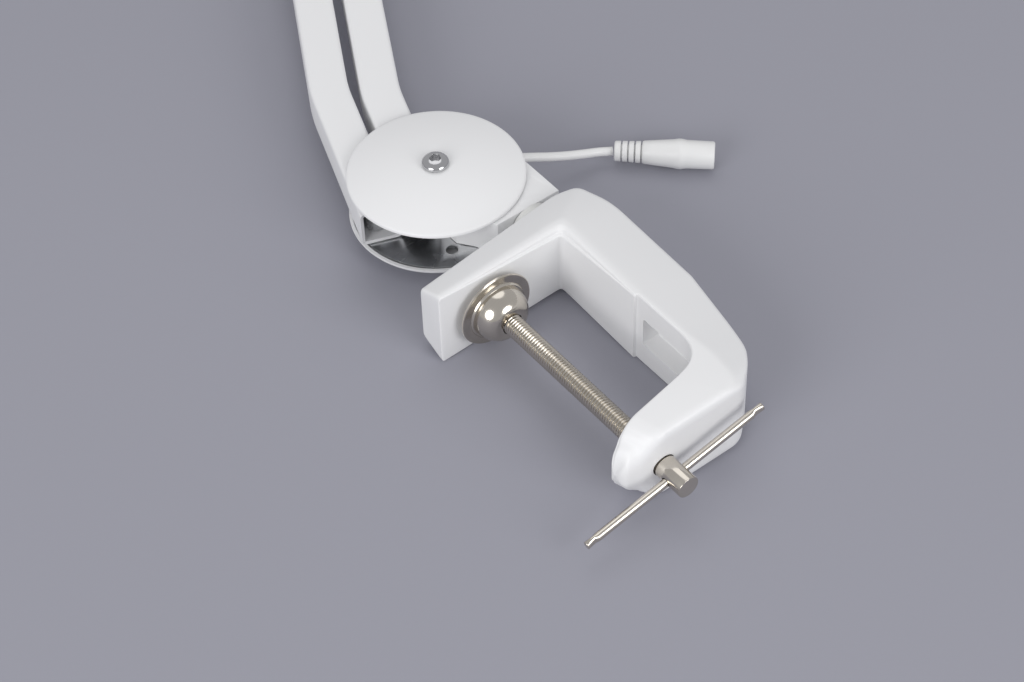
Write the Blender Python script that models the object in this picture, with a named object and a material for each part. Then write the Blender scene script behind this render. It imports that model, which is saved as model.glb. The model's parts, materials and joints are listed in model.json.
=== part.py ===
"""Magnifying lamp with a screw clamp, two parallel arms and a ring-light head, lying on its side.

Blender 4.5, metres, +Z up. While the parts are made, X = Y = 0 is the inner corner of the clamp's upper jaw and
Z = 0 is the surface that the lamp lies on. +Y is up when the clamp is on a table edge. At the end the root
empty moves, so that the origin is the middle of the underside of everything but the free lead.
"""

import math

import bmesh
import bpy
from mathutils import Euler, Matrix, Vector

# Clearances
FIT = 0.0003  # between pieces that seat on each other
RUN = 0.0006  # between a tube and the plates that it turns between
FOLD_GAP = 0.00107  # between the two tubes of an arm when it is folded as far as it goes

# Clamp
CLAMP_DEPTH = 0.0335
MID = CLAMP_DEPTH / 2
JAW_SLOPE = 0.00425  # how far the faces fall to the outer edge, on each side
THROAT = 0.0331  # from the spine to the screw
JAW_GAP = 0.0775  # from the upper jaw to the root of the lower jaw
LOWER_JAW_OUTER = 0.0986
SCREW_DIAMETER = 0.008
THREAD_PITCH = 0.00125
SCREW_HEAD_DIAMETER = 0.0088
SCREW_HEAD_LENGTH = 0.0125
PAD_RADIUS = 0.0154
PAD_DEPTH = 0.0105
PAD_OPEN = 0.003  # from the upper jaw to the pad
PAD_DOME_RADIUS = 0.0098
PAD_FLANGE = 0.0024
T_BAR_DIAMETER = 0.0032
T_BAR_LENGTH = 0.080
T_BAR_TILT = math.radians(-11.2)

# Base joint and the hubs of the elbow and the wrist
COVER_RADIUS = 0.0342
COVER_RISE = 0.0042
COVER_WALL = 0.0012
PLATE_THICKNESS = 0.0015
HUB_SCREW_DIAMETER = 0.006
HUB_SPACER_RADIUS = 0.0041
PIVOT_DIAMETER = 0.005
PIVOT_BUSH_RADIUS = 0.0042
BASE_CENTRE = Vector((-0.0129, 0.0594))
POST_X = 0.004
POST_DIAMETER = 0.010
NECK_WALL = 0.0015
NECK_BOTTOM = 0.0238
RIVET_DIAMETER = 0.004
RIVET_SHARES = ((0.702, -0.409), (-0.029, -0.556))  # of the cover's radius, from the joint's centre
SPARE_HOLE_SHARE = (-0.292, -0.643)

# Arms
TUBE_SIDE = 0.01545
TUBE_WALL = 0.0012
LOWER_ANGLE = math.radians(70.2)  # of the end stretches
LOWER_BEND = math.radians(-8.7)  # from an end stretch to the middle one
LOWER_ENDS = 0.065
LOWER_MIDDLE = 0.250
LOWER_SHIFT = 0.026  # how much nearer to the base tube B bends
UPPER_ANGLE = math.radians(165)
UPPER_LENGTH = 0.330
TUBE_END = 0.008  # past a pivot
SPRING_RADIUS = 0.0048
SPRING_LENGTH = 0.150
LEAD_DIAMETER = 0.0036

# Head
HEAD_RADIUS = 0.095
HEAD_WALL = 0.002
HEAD_DEPTH = 0.0335
HEAD_REACH = 0.050  # from the wrist's centre to the head's rim
HEAD_OFFSET = HEAD_REACH + HEAD_RADIUS
STEM_ANGLE = math.radians(200)
STEM_DIAMETER = 0.008
LENS_RADIUS = 0.0635
LENS_EDGE = 0.0035
LENS_CROWN = 0.0055
BUTTON_RADIUS = 0.0045
BUTTON_ANGLES = [math.radians(48 + 10 * i) for i in range(3)]

# Derived heights of the stack between the covers, from the middle outwards
PLATE_IN = TUBE_SIDE / 2 + RUN
PLATE_OUT = PLATE_IN + PLATE_THICKNESS
PLATE_RADIUS = COVER_RADIUS - COVER_WALL - 2 * FIT
RIM = PLATE_OUT + FIT / 2
APEX = RIM + COVER_RISE
NECK_HALF = PLATE_IN - FIT


def polar(length, angle):
    return Vector((length * math.cos(angle), length * math.sin(angle)))


# Pivots. Each pair is far enough apart for the tubes to pass at the narrowest fold.
LOWER_PAIR = polar((TUBE_SIDE + FOLD_GAP) / math.sin(math.radians(39.4)), math.radians(23.8))
UPPER_PAIR = polar((TUBE_SIDE + 2.7 * FOLD_GAP) / math.sin(math.radians(45)), math.radians(45))
BASE_A = BASE_CENTRE + polar(PLATE_RADIUS - 0.0068, math.radians(167.4))
BASE_B = BASE_A + LOWER_PAIR
LOWER_REACH = polar(2 * LOWER_ENDS, LOWER_ANGLE) + polar(LOWER_MIDDLE, LOWER_ANGLE + LOWER_BEND)
ELBOW_LOW_A = BASE_A + LOWER_REACH
ELBOW_LOW_B = ELBOW_LOW_A + LOWER_PAIR
ELBOW_CENTRE = ELBOW_LOW_A - polar(PLATE_RADIUS - 0.0103, math.radians(254.3))
ELBOW_UP_A = ELBOW_CENTRE + polar(PLATE_RADIUS - 0.0082, math.radians(180.5))
ELBOW_UP_B = ELBOW_UP_A + UPPER_PAIR
WRIST_A = ELBOW_UP_A + polar(UPPER_LENGTH, UPPER_ANGLE)
WRIST_B = WRIST_A + UPPER_PAIR
WRIST_CENTRE = WRIST_A - polar(PLATE_RADIUS - 0.0099, math.radians(-69.1))
HEAD_CENTRE = WRIST_CENTRE + polar(HEAD_OFFSET, STEM_ANGLE)

# Turns that lay a shape made along +Z in another direction
ALONG_Y = (math.radians(-90), 0, 0)
UPSIDE_DOWN = (math.radians(180), 0, 0)
HUB_SIDES = 28
HEAD_SIDES = 32


def along(angle):
    """Lays a shape made along +Z in the XY plane."""
    return (0, math.radians(90), angle)


# ---------------------------------------------------------------- scene helpers


def clear_scene():
    for item in list(bpy.data.objects):
        bpy.data.objects.remove(item, do_unlink=True)


def material(name, colour, roughness, metallic=0.0, transmission=0.0):
    made = bpy.data.materials.new(name)
    made.use_nodes = True
    shader = made.node_tree.nodes["Principled BSDF"]
    shader.inputs["Base Color"].default_value = (*colour, 1)
    shader.inputs["Roughness"].default_value = roughness
    shader.inputs["Metallic"].default_value = metallic
    shader.inputs["Transmission Weight"].default_value = transmission
    made.diffuse_color = (*colour, 1)
    return made


def joint_axis(name, parent, x, y, z=MID):
    """An empty on a joint's axis, which carries the pieces of one body."""
    axis = bpy.data.objects.new(name, None)
    axis.empty_display_size = 0.02
    bpy.context.collection.objects.link(axis)
    if parent:
        axis.parent = parent
        axis.location = Vector((x, y, z)) - place_of(parent)
    return axis


def place_of(axis):
    place = Vector()
    while axis:
        place += axis.location
        axis = axis.parent
    return place


def add(name, shape, look, axis, at=(0, 0, 0), turn=(0, 0, 0)):
    """A piece from a bmesh, placed at a point of the whole lamp and carried by a joint's empty."""
    mesh = bpy.data.meshes.new(name)
    bmesh.ops.recalc_face_normals(shape, faces=shape.faces)
    shape.to_mesh(mesh)
    shape.free()
    mesh.materials.append(look)
    mesh.shade_smooth()
    mesh.set_sharp_from_angle(angle=math.radians(35))
    piece = bpy.data.objects.new(name, mesh)
    bpy.context.collection.objects.link(piece)
    piece.parent = axis
    piece.location = Vector(at) - place_of(axis)
    piece.rotation_euler = turn
    return piece


def cut(piece, shape, at=(0, 0, 0), turn=(0, 0, 0)):
    """Takes a shape away from a piece, with a cutter that stays in the scene."""
    cutter = add(piece.name + "_cutter", shape, piece.data.materials[0], piece.parent, at, turn)
    cutter.hide_render = True
    cutter.display_type = "WIRE"
    boolean = piece.modifiers.new("Cut", "BOOLEAN")
    boolean.operation = "DIFFERENCE"
    boolean.solver = "EXACT"
    boolean.object = cutter


# ---------------------------------------------------------------- shapes


def turned(profile, sides, ring=False):
    """A profile of (radius, height) points turned about Z. A ring's profile closes on itself."""
    shape = bmesh.new()
    points = [shape.verts.new((radius, 0, height)) for radius, height in profile]
    edges = [shape.edges.new(pair) for pair in zip(points, points[1:])]
    if ring:
        edges.append(shape.edges.new((points[-1], points[0])))
    bmesh.ops.spin(
        shape, geom=points + edges, axis=(0, 0, 1), cent=(0, 0, 0), steps=sides, angle=math.tau,
        use_merge=True, use_duplicate=False,
    )
    bmesh.ops.remove_doubles(shape, verts=shape.verts, dist=1e-6)
    return shape


def rod(radius, low, high, sides=16):
    return turned([(0, low), (radius, low), (radius, high), (0, high)], sides)


def rods(places, radius, low, high, sides=12):
    """Several upright rods in one mesh, for cutting holes."""
    shape = bmesh.new()
    for x, y in places:
        bmesh.ops.create_cone(
            shape, cap_ends=True, segments=sides, radius1=radius, radius2=radius, depth=high - low,
            matrix=Matrix.Translation((x, y, (low + high) / 2)),
        )
    return shape


def prism(outline, low, high):
    """An outline in the XY plane, given height."""
    shape = bmesh.new()
    base = shape.faces.new([shape.verts.new((x, y, low)) for x, y in outline])
    top = bmesh.ops.extrude_face_region(shape, geom=[base])
    corners = [item for item in top["geom"] if isinstance(item, bmesh.types.BMVert)]
    bmesh.ops.translate(shape, vec=(0, 0, high - low), verts=corners)
    return shape


def box(size, centre=(0, 0, 0)):
    shape = bmesh.new()
    bmesh.ops.create_cube(shape, size=1, matrix=Matrix.Translation(centre) @ Matrix.Diagonal((*size, 1)))
    return shape


def slot_outline(start, end, half_width, steps=5):
    """A straight bar's outline with round ends, from one point to another."""
    run = (Vector(end) - Vector(start)).normalized()
    side = Vector((-run.y, run.x))
    outline = []
    for centre, way in ((Vector(end), run), (Vector(start), -run)):
        for step in range(steps + 1):
            angle = math.pi * step / steps
            across = side if way == run else -side
            outline.append(centre - across * math.cos(angle) * half_width + way * math.sin(angle) * half_width)
    return outline


def lofted(sections):
    """A closed skin over a run of equal rings, with both ends capped."""
    shape = bmesh.new()
    rings = [[shape.verts.new(point) for point in section] for section in sections]
    for one, two in zip(rings, rings[1:]):
        for i in range(len(one)):
            j = (i + 1) % len(one)
            shape.faces.new((one[i], one[j], two[j], two[i]))
    shape.faces.new(rings[0])
    shape.faces.new(rings[-1])
    return shape


def square_tube(path, side, wall):
    """A hollow square tube along a path in the XY plane, mitred at the bends and open at both ends."""
    shape = bmesh.new()
    path = [Vector(point) for point in path]
    ways = [(b - a).normalized() for a, b in zip(path, path[1:])]
    skins = []
    for half in (side / 2, side / 2 - wall):
        rings = []
        for i, point in enumerate(path):
            before, after = ways[max(i - 1, 0)], ways[min(i, len(ways) - 1)]
            across = Vector((-before.y - after.y, before.x + after.x)).normalized()
            reach = half / across.dot(Vector((-after.y, after.x)))
            ring = []
            for sideways, up in ((1, 1), (-1, 1), (-1, -1), (1, -1)):
                spot = point + across * reach * sideways
                ring.append(shape.verts.new((spot.x, spot.y, half * up)))
            rings.append(ring)
        skins.append(rings)
    for rings in skins:
        for one, two in zip(rings, rings[1:]):
            for i in range(4):
                j = (i + 1) % 4
                shape.faces.new((one[i], one[j], two[j], two[i]))
    for end in (0, -1):
        outer, inner = skins[0][end], skins[1][end]
        for i in range(4):
            j = (i + 1) % 4
            shape.faces.new((outer[i], outer[j], inner[j], inner[i]))
    return shape


# ---------------------------------------------------------------- clamp


def clamp_section(inner, edge, ridge, outer, outer_half, wall_drop):
    """One section across the clamp's casting: the inner wall, its bevelled edge, the ridge and the outer wall."""
    low, high = wall_drop, CLAMP_DEPTH - wall_drop
    return [
        (*inner, low), (*inner, high), (*edge, CLAMP_DEPTH), (*ridge, CLAMP_DEPTH),
        (*outer, MID + outer_half), (*outer, MID - outer_half), (*ridge, 0), (*edge, 0),
    ]


def make_clamp_frame(axis, look):
    jaw_half = MID - JAW_SLOPE
    low_half = MID - 0.0020
    root, face = -JAW_GAP, -LOWER_JAW_OUTER
    tip = -THROAT - 0.0226
    land_end = -0.042
    # inner wall, bevelled edge, ridge, outer wall, half height of the outer wall, drop of the bevelled edge
    stations = [
        ((tip, 0), (tip + 0.0003, 0.0004), (tip + 0.0004, 0.0022), (tip + 0.0004, 0.0124), jaw_half, 0.0004),
        ((-0.0030, 0), (-0.0028, 0.0026), (-0.0024, 0.0050), (0.0130, 0.0199), jaw_half, 0.0026),
        ((0, 0), (0.0026, 0.0026), (0.0050, 0.0050), (0.0225, 0.0178), jaw_half, 0.0026),
        ((0.0001, -0.0030), (0.0026, -0.0028), (0.0050, -0.0024), (0.0271, 0.0035), jaw_half, 0.0026),
        ((0, land_end), (0.0005, land_end), (0.0020, land_end), (0.0255, -0.0440), jaw_half, 0.0005),
        ((0.0012, land_end - 0.0003), (0.0016, land_end - 0.0003), (0.0030, land_end - 0.0003),
         (0.0254, -0.0450), jaw_half, 0.0005),
        ((0.0012, root + 0.0080), (0.0016, root + 0.0078), (0.0030, root + 0.0075),
         (0.0200, root + 0.0045), jaw_half, 0.0005),
        ((-0.0012, root + 0.0020), (-0.0008, root + 0.0017), (0.0040, root - 0.0020),
         (0.0174, root - 0.0060), jaw_half, 0.0005),
        ((-0.0060, root - 0.0018), (-0.0058, root - 0.0022), (0.0022, face + 0.0042),
         (0.0120, face + 0.0085), jaw_half + 0.001, 0.0005),
        ((-0.0130, root - 0.0035), (-0.0130, root - 0.0040), (-0.0030, face + 0.0016),
         (0.0030, face + 0.0004), low_half, 0.0008),
        ((-THROAT - 0.0050, root - 0.0078), (-THROAT - 0.0050, root - 0.0085),
         (-THROAT - 0.0020, face + 0.0016), (-THROAT - 0.0020, face), low_half, 0.0012),
        ((-THROAT - 0.0125, root - 0.0090), (-THROAT - 0.0110, root - 0.0105),
         (-THROAT - 0.0070, face + 0.0040), (-THROAT - 0.0092, face + 0.0014), low_half - 0.0040, 0.0035),
        ((-THROAT - 0.0168, root - 0.0112), (-THROAT - 0.0128, root - 0.0130),
         (-THROAT - 0.0118, root - 0.0150), (-THROAT - 0.0160, root - 0.0165), low_half - 0.0070, 0.0078),
    ]
    frame = add("clamp_frame", lofted([clamp_section(*station) for station in stations]), look, axis)
    pocket = box((0.0150, 0.0280, 0.0130), (0.0012, -0.0600, MID))
    cut(frame, pocket)
    bush_bore = rod(POST_DIAMETER / 2 + 0.0016 + 2 * FIT, 0.0026, 0.03)
    cut(frame, bush_bore, (POST_X, 0, MID), ALONG_Y)
    screw_bore = turned(
        [(0, face - 0.01), (SCREW_HEAD_DIAMETER / 2 + 0.0005, face - 0.01),
         (SCREW_HEAD_DIAMETER / 2 + 0.0005, face + 0.0032),
         (SCREW_DIAMETER / 2 + FIT, face + 0.0032), (SCREW_DIAMETER / 2 + FIT, root + 0.01), (0, root + 0.01)], 20)
    cut(frame, screw_bore, (-THROAT, 0, MID), ALONG_Y)


def make_clamp(root, looks):
    make_clamp_frame(root, looks["white"])
    inner, outer = POST_DIAMETER / 2 + FIT, POST_DIAMETER / 2 + 0.0016
    bush = turned([(inner, 0.0029), (outer, 0.0029), (outer, 0.0203), (outer + 0.0024, 0.0203),
                   (outer + 0.0024, NECK_BOTTOM - FIT), (inner, NECK_BOTTOM - FIT)], 20, ring=True)
    add("post_bush", bush, looks["nylon"], root, (POST_X, 0, MID), ALONG_Y)


def make_screw(root, looks):
    slide = joint_axis("pad_axis", root, -THROAT, -PAD_OPEN)
    top = -PAD_OPEN
    bore = SCREW_DIAMETER / 2 + FIT
    neck = bore + 0.0009
    dome = []
    for step in range(5):
        angle = math.radians(90) * step / 4
        radius = neck + (PAD_DOME_RADIUS - neck) * math.cos(angle)
        dome.append((radius, top - PAD_FLANGE - (PAD_DEPTH - PAD_FLANGE) * math.sin(angle)))
    flange = [(0, top), (PAD_RADIUS, top), (PAD_RADIUS, top - 0.0012), (PAD_DOME_RADIUS + 0.0010, top - 0.0018)]
    pad = turned(flange + dome + [(bore, top - PAD_DEPTH), (bore, top - 0.0035), (0, top - 0.0035)], 28)
    add("swivel_pad", pad, looks["nickel"], slide, (-THROAT, 0, MID), ALONG_Y)
    turn_axis = joint_axis("screw_axis", slide, -THROAT, -PAD_OPEN)
    head = -LOWER_JAW_OUTER - 0.0004
    end = head - SCREW_HEAD_LENGTH
    radius, head_radius = SCREW_DIAMETER / 2, SCREW_HEAD_DIAMETER / 2
    tip = top - 0.0035 - FIT
    profile = [(0, tip), (radius - 0.001, tip), (radius, tip - 0.001), (radius, head), (head_radius, head),
               (head_radius, end + 0.0010), (head_radius - 0.0010, end), (0, end)]
    screw = add("clamp_screw", turned(profile, 20), looks["nickel"], turn_axis, (-THROAT, 0, MID), ALONG_Y)
    bar_y = head - 0.0054
    bar_turn = Euler((0, math.radians(-90) + T_BAR_TILT, 0))
    bar_radius = T_BAR_DIAMETER / 2
    cut(screw, rod(bar_radius + FIT, -0.01, 0.01, 12), (-THROAT, bar_y, MID), bar_turn)
    bar_axis = joint_axis("t_bar_axis", turn_axis, -THROAT, bar_y)
    half, flare = T_BAR_LENGTH / 2, bar_radius + 0.0006
    bar = turned([(0, -half), (flare, -half), (flare, 0.0035 - half), (bar_radius, 0.0045 - half),
                  (bar_radius, half - 0.0045), (flare, half - 0.0035), (flare, half), (0, half)], 12)
    add("t_bar", bar, looks["nickel"], bar_axis, (-THROAT, bar_y, MID), bar_turn)


# ---------------------------------------------------------------- joint hubs


def cover_profile():
    """A domed disc with a turned-in lip, from its centre hole out and back."""
    hole = HUB_SCREW_DIAMETER / 2 + FIT
    steps = 3
    outside = []
    for step in range(steps + 1):
        radius = hole + (COVER_RADIUS - hole) * step / steps
        outside.append((radius, RIM + COVER_RISE * (1 - (radius / COVER_RADIUS) ** 2)))
    inner_radius = COVER_RADIUS - COVER_WALL
    lip = [(COVER_RADIUS, PLATE_IN + FIT), (inner_radius, PLATE_IN + FIT)]
    inside = [(min(radius, inner_radius), height - COVER_WALL + FIT) for radius, height in reversed(outside[:-1])]
    shoulder = [(inner_radius, PLATE_OUT + FIT)]
    return outside + lip + shoulder + inside


def make_hub(name, centre, axis, looks, pivots, others=(), spacer=True):
    """Two plates and two covers on a centre screw, with a pin for each pivot."""
    at = (*centre, MID)
    screw_radius = HUB_SCREW_DIAMETER / 2
    holes = [(*(point - centre), PIVOT_DIAMETER / 2) for point in pivots.values()]
    holes += [(*(point - centre), radius) for point, radius in others] + [(0, 0, screw_radius)]
    for side, way in (("top", 1), ("bottom", -1)):
        turn = (0, 0, 0) if way == 1 else UPSIDE_DOWN
        plate = add(f"{name}_plate_{side}", rod(PLATE_RADIUS, PLATE_IN, PLATE_OUT, HUB_SIDES), looks["steel"], axis, at, turn)
        for x, y, radius in holes:
            cut(plate, rods([(x, y * way)], radius + FIT, PLATE_IN - 0.002, PLATE_OUT + 0.002), at, turn)
        add(f"{name}_cover_{side}", turned(cover_profile(), HUB_SIDES, ring=True), looks["white"], axis, at, turn)
    head, head_radius = 0.0030, 0.00525
    top = APEX + FIT
    profile = [(0, -APEX - 0.0016), (screw_radius, -APEX - 0.0016), (screw_radius, top), (head_radius, top),
               (head_radius, top + 0.0010), (head_radius - 0.0008, top + 0.0022), (head_radius - 0.0020, top + head),
               (0.0020, top + head), (0.0018, top + 0.0012), (0, top + 0.0012)]
    add(f"{name}_screw", turned(profile, 18), looks["chrome"], axis, at)
    hexagon = [polar(0.0050, math.radians(60 * corner)) for corner in range(6)]
    nut = add(f"{name}_nut", prism(hexagon, -APEX - 0.0018, -APEX - FIT), looks["chrome"], axis, at)
    cut(nut, rod(screw_radius + FIT, -APEX - 0.0030, -APEX + 0.0010), at)
    if spacer:
        reach = PLATE_IN - FIT
        tube = turned([(screw_radius + FIT, -reach), (HUB_SPACER_RADIUS, -reach), (HUB_SPACER_RADIUS, reach),
                       (screw_radius + FIT, reach)], 14, ring=True)
        add(f"{name}_spacer", tube, looks["steel"], axis, at)
    pin, bush = PIVOT_DIAMETER / 2, TUBE_SIDE / 2 - TUBE_WALL - FIT
    pin_profile = [(0, -PLATE_OUT), (pin, -PLATE_OUT), (pin, -bush), (PIVOT_BUSH_RADIUS, -bush),
                   (PIVOT_BUSH_RADIUS, bush), (pin, bush), (pin, PLATE_OUT), (0, PLATE_OUT)]
    for label, point in pivots.items():
        add(f"{name}_pivot_{label}", turned(pin_profile, 12), looks["steel"], axis, (*point, MID))


# ---------------------------------------------------------------- base joint


def make_base(root, looks):
    base = joint_axis("base_swivel_axis", root, POST_X, NECK_BOTTOM)
    rivets = [BASE_CENTRE + COVER_RADIUS * Vector(share) for share in RIVET_SHARES]
    spare_hole = BASE_CENTRE + COVER_RADIUS * Vector(SPARE_HOLE_SHARE)
    rivet = RIVET_DIAMETER / 2
    others = [(point, rivet) for point in rivets] + [(spare_hole, rivet)]
    make_hub("base", BASE_CENTRE, base, looks, {"a": BASE_A, "b": BASE_B}, others)
    make_neck(base, looks, rivets)
    flange = NECK_BOTTOM + NECK_WALL + 0.0006 + FIT
    radius, washer = POST_DIAMETER / 2, NECK_HALF - NECK_WALL - FIT
    post = turned([(0, 0.0035), (radius - 0.0006, 0.0035), (radius, 0.0041), (radius, flange), (washer, flange),
                   (washer, flange + 0.0030), (0, flange + 0.0030)], 20)
    add("swivel_post", post, looks["steel"], base, (POST_X, 0, MID), ALONG_Y)
    for number, point in enumerate(rivets, 1):
        add(f"bracket_rivet_{number}", rod(rivet, -PLATE_OUT, PLATE_OUT, 12), looks["steel"], base, (*point, MID))
    return base


def make_neck(base, looks, rivets):
    """A folded box between the plates, open towards the joint's centre, on the swivel post."""
    half = NECK_HALF
    top = BASE_CENTRE.y - HUB_SPACER_RADIUS - 0.0030
    outline = [(-0.0110, NECK_BOTTOM), (0.0180, NECK_BOTTOM), (0.0180, top - 0.0050), (0.0120, top),
               (-0.0195, top), (-0.0195, 0.0390), (-0.0152, 0.0331)]
    neck = add("neck_bracket", prism(outline, -half, half), looks["white"], base, (0, 0, MID))
    wall = NECK_WALL
    inside = [(-0.0110 + wall * 0.7, NECK_BOTTOM + wall), (0.0180 - wall, NECK_BOTTOM + wall),
              (0.0180 - wall, top + 0.01), (-0.0195 + wall, top + 0.01), (-0.0195 + wall, 0.0390 + wall * 0.4),
              (-0.0152 + wall * 1.1, 0.0331 + wall * 0.3)]
    cut(neck, prism(inside, -half + wall, half - wall), (0, 0, MID))
    cut(neck, rod(POST_DIAMETER / 2 + FIT, NECK_BOTTOM - 0.002, NECK_BOTTOM + 0.004), (POST_X, 0, MID), ALONG_Y)
    cut(neck, rods(rivets, RIVET_DIAMETER / 2 + FIT, -half - 0.001, half + 0.001), (0, 0, MID))


# The free lead leaves the clip, drops to the surface and ends in its jack. Each point has its place in the plane,
# and its height as a share of the way from the jack's middle up to the lamp's middle plane.
LEAD_LOW = 0.0058
LEAD_ROUTE = [
    (0.0085, 0.0580, 1.000), (0.0130, 0.0573, 1.000), (0.0180, 0.0562, 0.986), (0.0235, 0.0546, 0.895),
    (0.0290, 0.0529, 0.740), (0.0345, 0.0512, 0.566), (0.0400, 0.0497, 0.402), (0.0455, 0.0484, 0.247),
    (0.0510, 0.0471, 0.110), (0.0555, 0.0457, 0.027), (0.0600, 0.0430, 0.000),
]
JACK_START = Vector((0.0605, 0.0426, 0.0060))
JACK_END = Vector((0.0892, 0.0157, 0.0060))
JACK_RADIUS = 0.0058


def cord(name, points, diameter, look, axis):
    data = bpy.data.curves.new(name, "CURVE")
    data.dimensions = "3D"
    data.bevel_depth = diameter / 2
    data.bevel_resolution = 2
    data.use_fill_caps = True
    spline = data.splines.new("POLY")
    spline.points.add(len(points) - 1)
    origin = place_of(axis)
    for knot, point in zip(spline.points, points):
        knot.co = (*(Vector(point) - origin), 1)
    data.materials.append(look)
    piece = bpy.data.objects.new(name, data)
    bpy.context.collection.objects.link(piece)
    piece.parent = axis
    return piece


def make_lead(base, looks):
    route = [Vector((x, y, LEAD_LOW + (MID - LEAD_LOW) * share)) for x, y, share in LEAD_ROUTE]
    cord("power_lead", route, LEAD_DIAMETER, looks["vinyl"], base)
    clip_at = route[1]
    clip_way = math.atan2(route[1].y - route[0].y, route[1].x - route[0].x)
    reach = PLATE_IN - FIT
    clip = add("cord_clip", box((0.0050, 0.0070, 2 * reach)), looks["nylon"], base, clip_at, (0, 0, clip_way))
    bore = rod(LEAD_DIAMETER / 2 + FIT + 0.0001, -0.006, 0.006, 12)
    cut(clip, bore, clip_at, along(clip_way))
    run = JACK_END - JACK_START
    length = run.length
    jack_turn = run.to_track_quat("Z", "Y").to_euler()
    socket = 0.0029
    profile = [(0, 0), (0.0036, 0), (0.0039, 0.0008), (0.0042, 0.0117), (0.0046, 0.0122), (0.0054, 0.0225),
               (JACK_RADIUS + 0.0002, 0.0285), (0.0056, 0.0300), (0.0055, length - 0.0008),
               (0.0048, length), (socket, length), (socket, length - 0.0100), (0, length - 0.0100)]
    add("power_jack", turned(profile, 16), looks["vinyl"], base, JACK_START, jack_turn)
    contact = turned([(0, length - 0.0100 + FIT), (0.0010, length - 0.0100 + FIT), (0.0010, length - 0.0014),
                      (0.0006, length - 0.0008), (0, length - 0.0008)], 10)
    add("jack_contact", contact, looks["nickel"], base, JACK_START, jack_turn)


# ---------------------------------------------------------------- arms


def tube_path(start, legs):
    """Corner points of a tube that runs past its first and last pivot by TUBE_END."""
    first, last = legs[0], legs[-1]
    point = start - polar(TUBE_END, first[1])
    path = [point]
    for index, (length, angle) in enumerate(legs):
        more = TUBE_END * (index == 0) + TUBE_END * (index == len(legs) - 1)
        point = point + polar(length + more, angle)
        path.append(point)
    return path


def make_tube(name, pivots, legs, axis, looks):
    path = tube_path(pivots[0], legs)
    tube = add(name, square_tube(path, TUBE_SIDE, TUBE_WALL), looks["white"], axis, (0, 0, MID))
    cut(tube, rods(pivots, PIVOT_DIAMETER / 2 + FIT, -TUBE_SIDE, TUBE_SIDE), (0, 0, MID))


def make_spring(name, start, angle, axis, looks):
    """The balance spring's outer shape, inside its tube."""
    inner = SPRING_RADIUS - 0.0014
    profile = [(inner, 0), (SPRING_RADIUS, 0), (SPRING_RADIUS, SPRING_LENGTH), (inner, SPRING_LENGTH)]
    lift = TUBE_SIDE / 2 - TUBE_WALL - SPRING_RADIUS - 2 * FIT
    add(name, turned(profile, 14, ring=True), looks["steel"], axis, (*start, MID - lift), along(angle))


def inner_lead(name, start, way, length, axis, looks):
    """The lead inside a tube, lying along its lower wall."""
    low = MID - TUBE_SIDE / 2 + TUBE_WALL + LEAD_DIAMETER / 2 + FIT
    across = polar(TUBE_SIDE / 2 - TUBE_WALL - LEAD_DIAMETER / 2 - 0.0008, way + math.radians(90))
    steps = 12
    points = []
    for step in range(steps + 1):
        share = step / steps
        spot = start + polar(length * share, way) + across * math.cos(math.tau * share) * 0.8
        points.append((*spot, low))
    cord(name, points, LEAD_DIAMETER, looks["vinyl"], axis)


def make_lower_arm(base, looks):
    middle = LOWER_ANGLE + LOWER_BEND
    legs_a = [(LOWER_ENDS, LOWER_ANGLE), (LOWER_MIDDLE, middle), (LOWER_ENDS, LOWER_ANGLE)]
    legs_b = [(LOWER_ENDS - LOWER_SHIFT, LOWER_ANGLE), (LOWER_MIDDLE, middle),
              (LOWER_ENDS + LOWER_SHIFT, LOWER_ANGLE)]
    arm_a = joint_axis("lower_arm_a_axis", base, *BASE_A)
    arm_b = joint_axis("lower_arm_b_axis", base, *BASE_B)
    make_tube("lower_tube_a", [BASE_A, ELBOW_LOW_A], legs_a, arm_a, looks)
    make_tube("lower_tube_b", [BASE_B, ELBOW_LOW_B], legs_b, arm_b, looks)
    bend_a = BASE_A + polar(LOWER_ENDS, LOWER_ANGLE)
    bend_b = BASE_B + polar(LOWER_ENDS - LOWER_SHIFT, LOWER_ANGLE)
    inset = 0.020
    make_spring("lower_spring", bend_a + polar(inset, middle), middle, arm_a, looks)
    inner_lead("lower_inner_lead", bend_b + polar(inset, middle), middle, LOWER_MIDDLE - 2 * inset, arm_b, looks)
    return arm_a


def make_elbow(arm, looks):
    elbow = joint_axis("elbow_axis", arm, *ELBOW_LOW_A)
    pivots = {"low_a": ELBOW_LOW_A, "low_b": ELBOW_LOW_B, "up_a": ELBOW_UP_A, "up_b": ELBOW_UP_B}
    make_hub("elbow", ELBOW_CENTRE, elbow, looks, pivots)
    return elbow


def make_upper_arm(elbow, looks):
    arm_a = joint_axis("upper_arm_a_axis", elbow, *ELBOW_UP_A)
    arm_b = joint_axis("upper_arm_b_axis", elbow, *ELBOW_UP_B)
    leg = [(UPPER_LENGTH, UPPER_ANGLE)]
    make_tube("upper_tube_a", [ELBOW_UP_A, WRIST_A], leg, arm_a, looks)
    make_tube("upper_tube_b", [ELBOW_UP_B, WRIST_B], leg, arm_b, looks)
    inset = 0.030
    make_spring("upper_spring", ELBOW_UP_A + polar(inset, UPPER_ANGLE), UPPER_ANGLE, arm_a, looks)
    inner_lead("upper_inner_lead", ELBOW_UP_B + polar(inset, UPPER_ANGLE), UPPER_ANGLE,
               UPPER_LENGTH - 2 * inset, arm_b, looks)
    return arm_a


# ---------------------------------------------------------------- wrist and head


def make_wrist(arm, looks):
    wrist = joint_axis("wrist_axis", arm, *WRIST_A)
    make_hub("wrist", WRIST_CENTRE, wrist, looks, {"a": WRIST_A, "b": WRIST_B}, spacer=False)
    return wrist


LUG_LENGTH = 0.040
LUG_WIDTH = 0.0125


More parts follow.
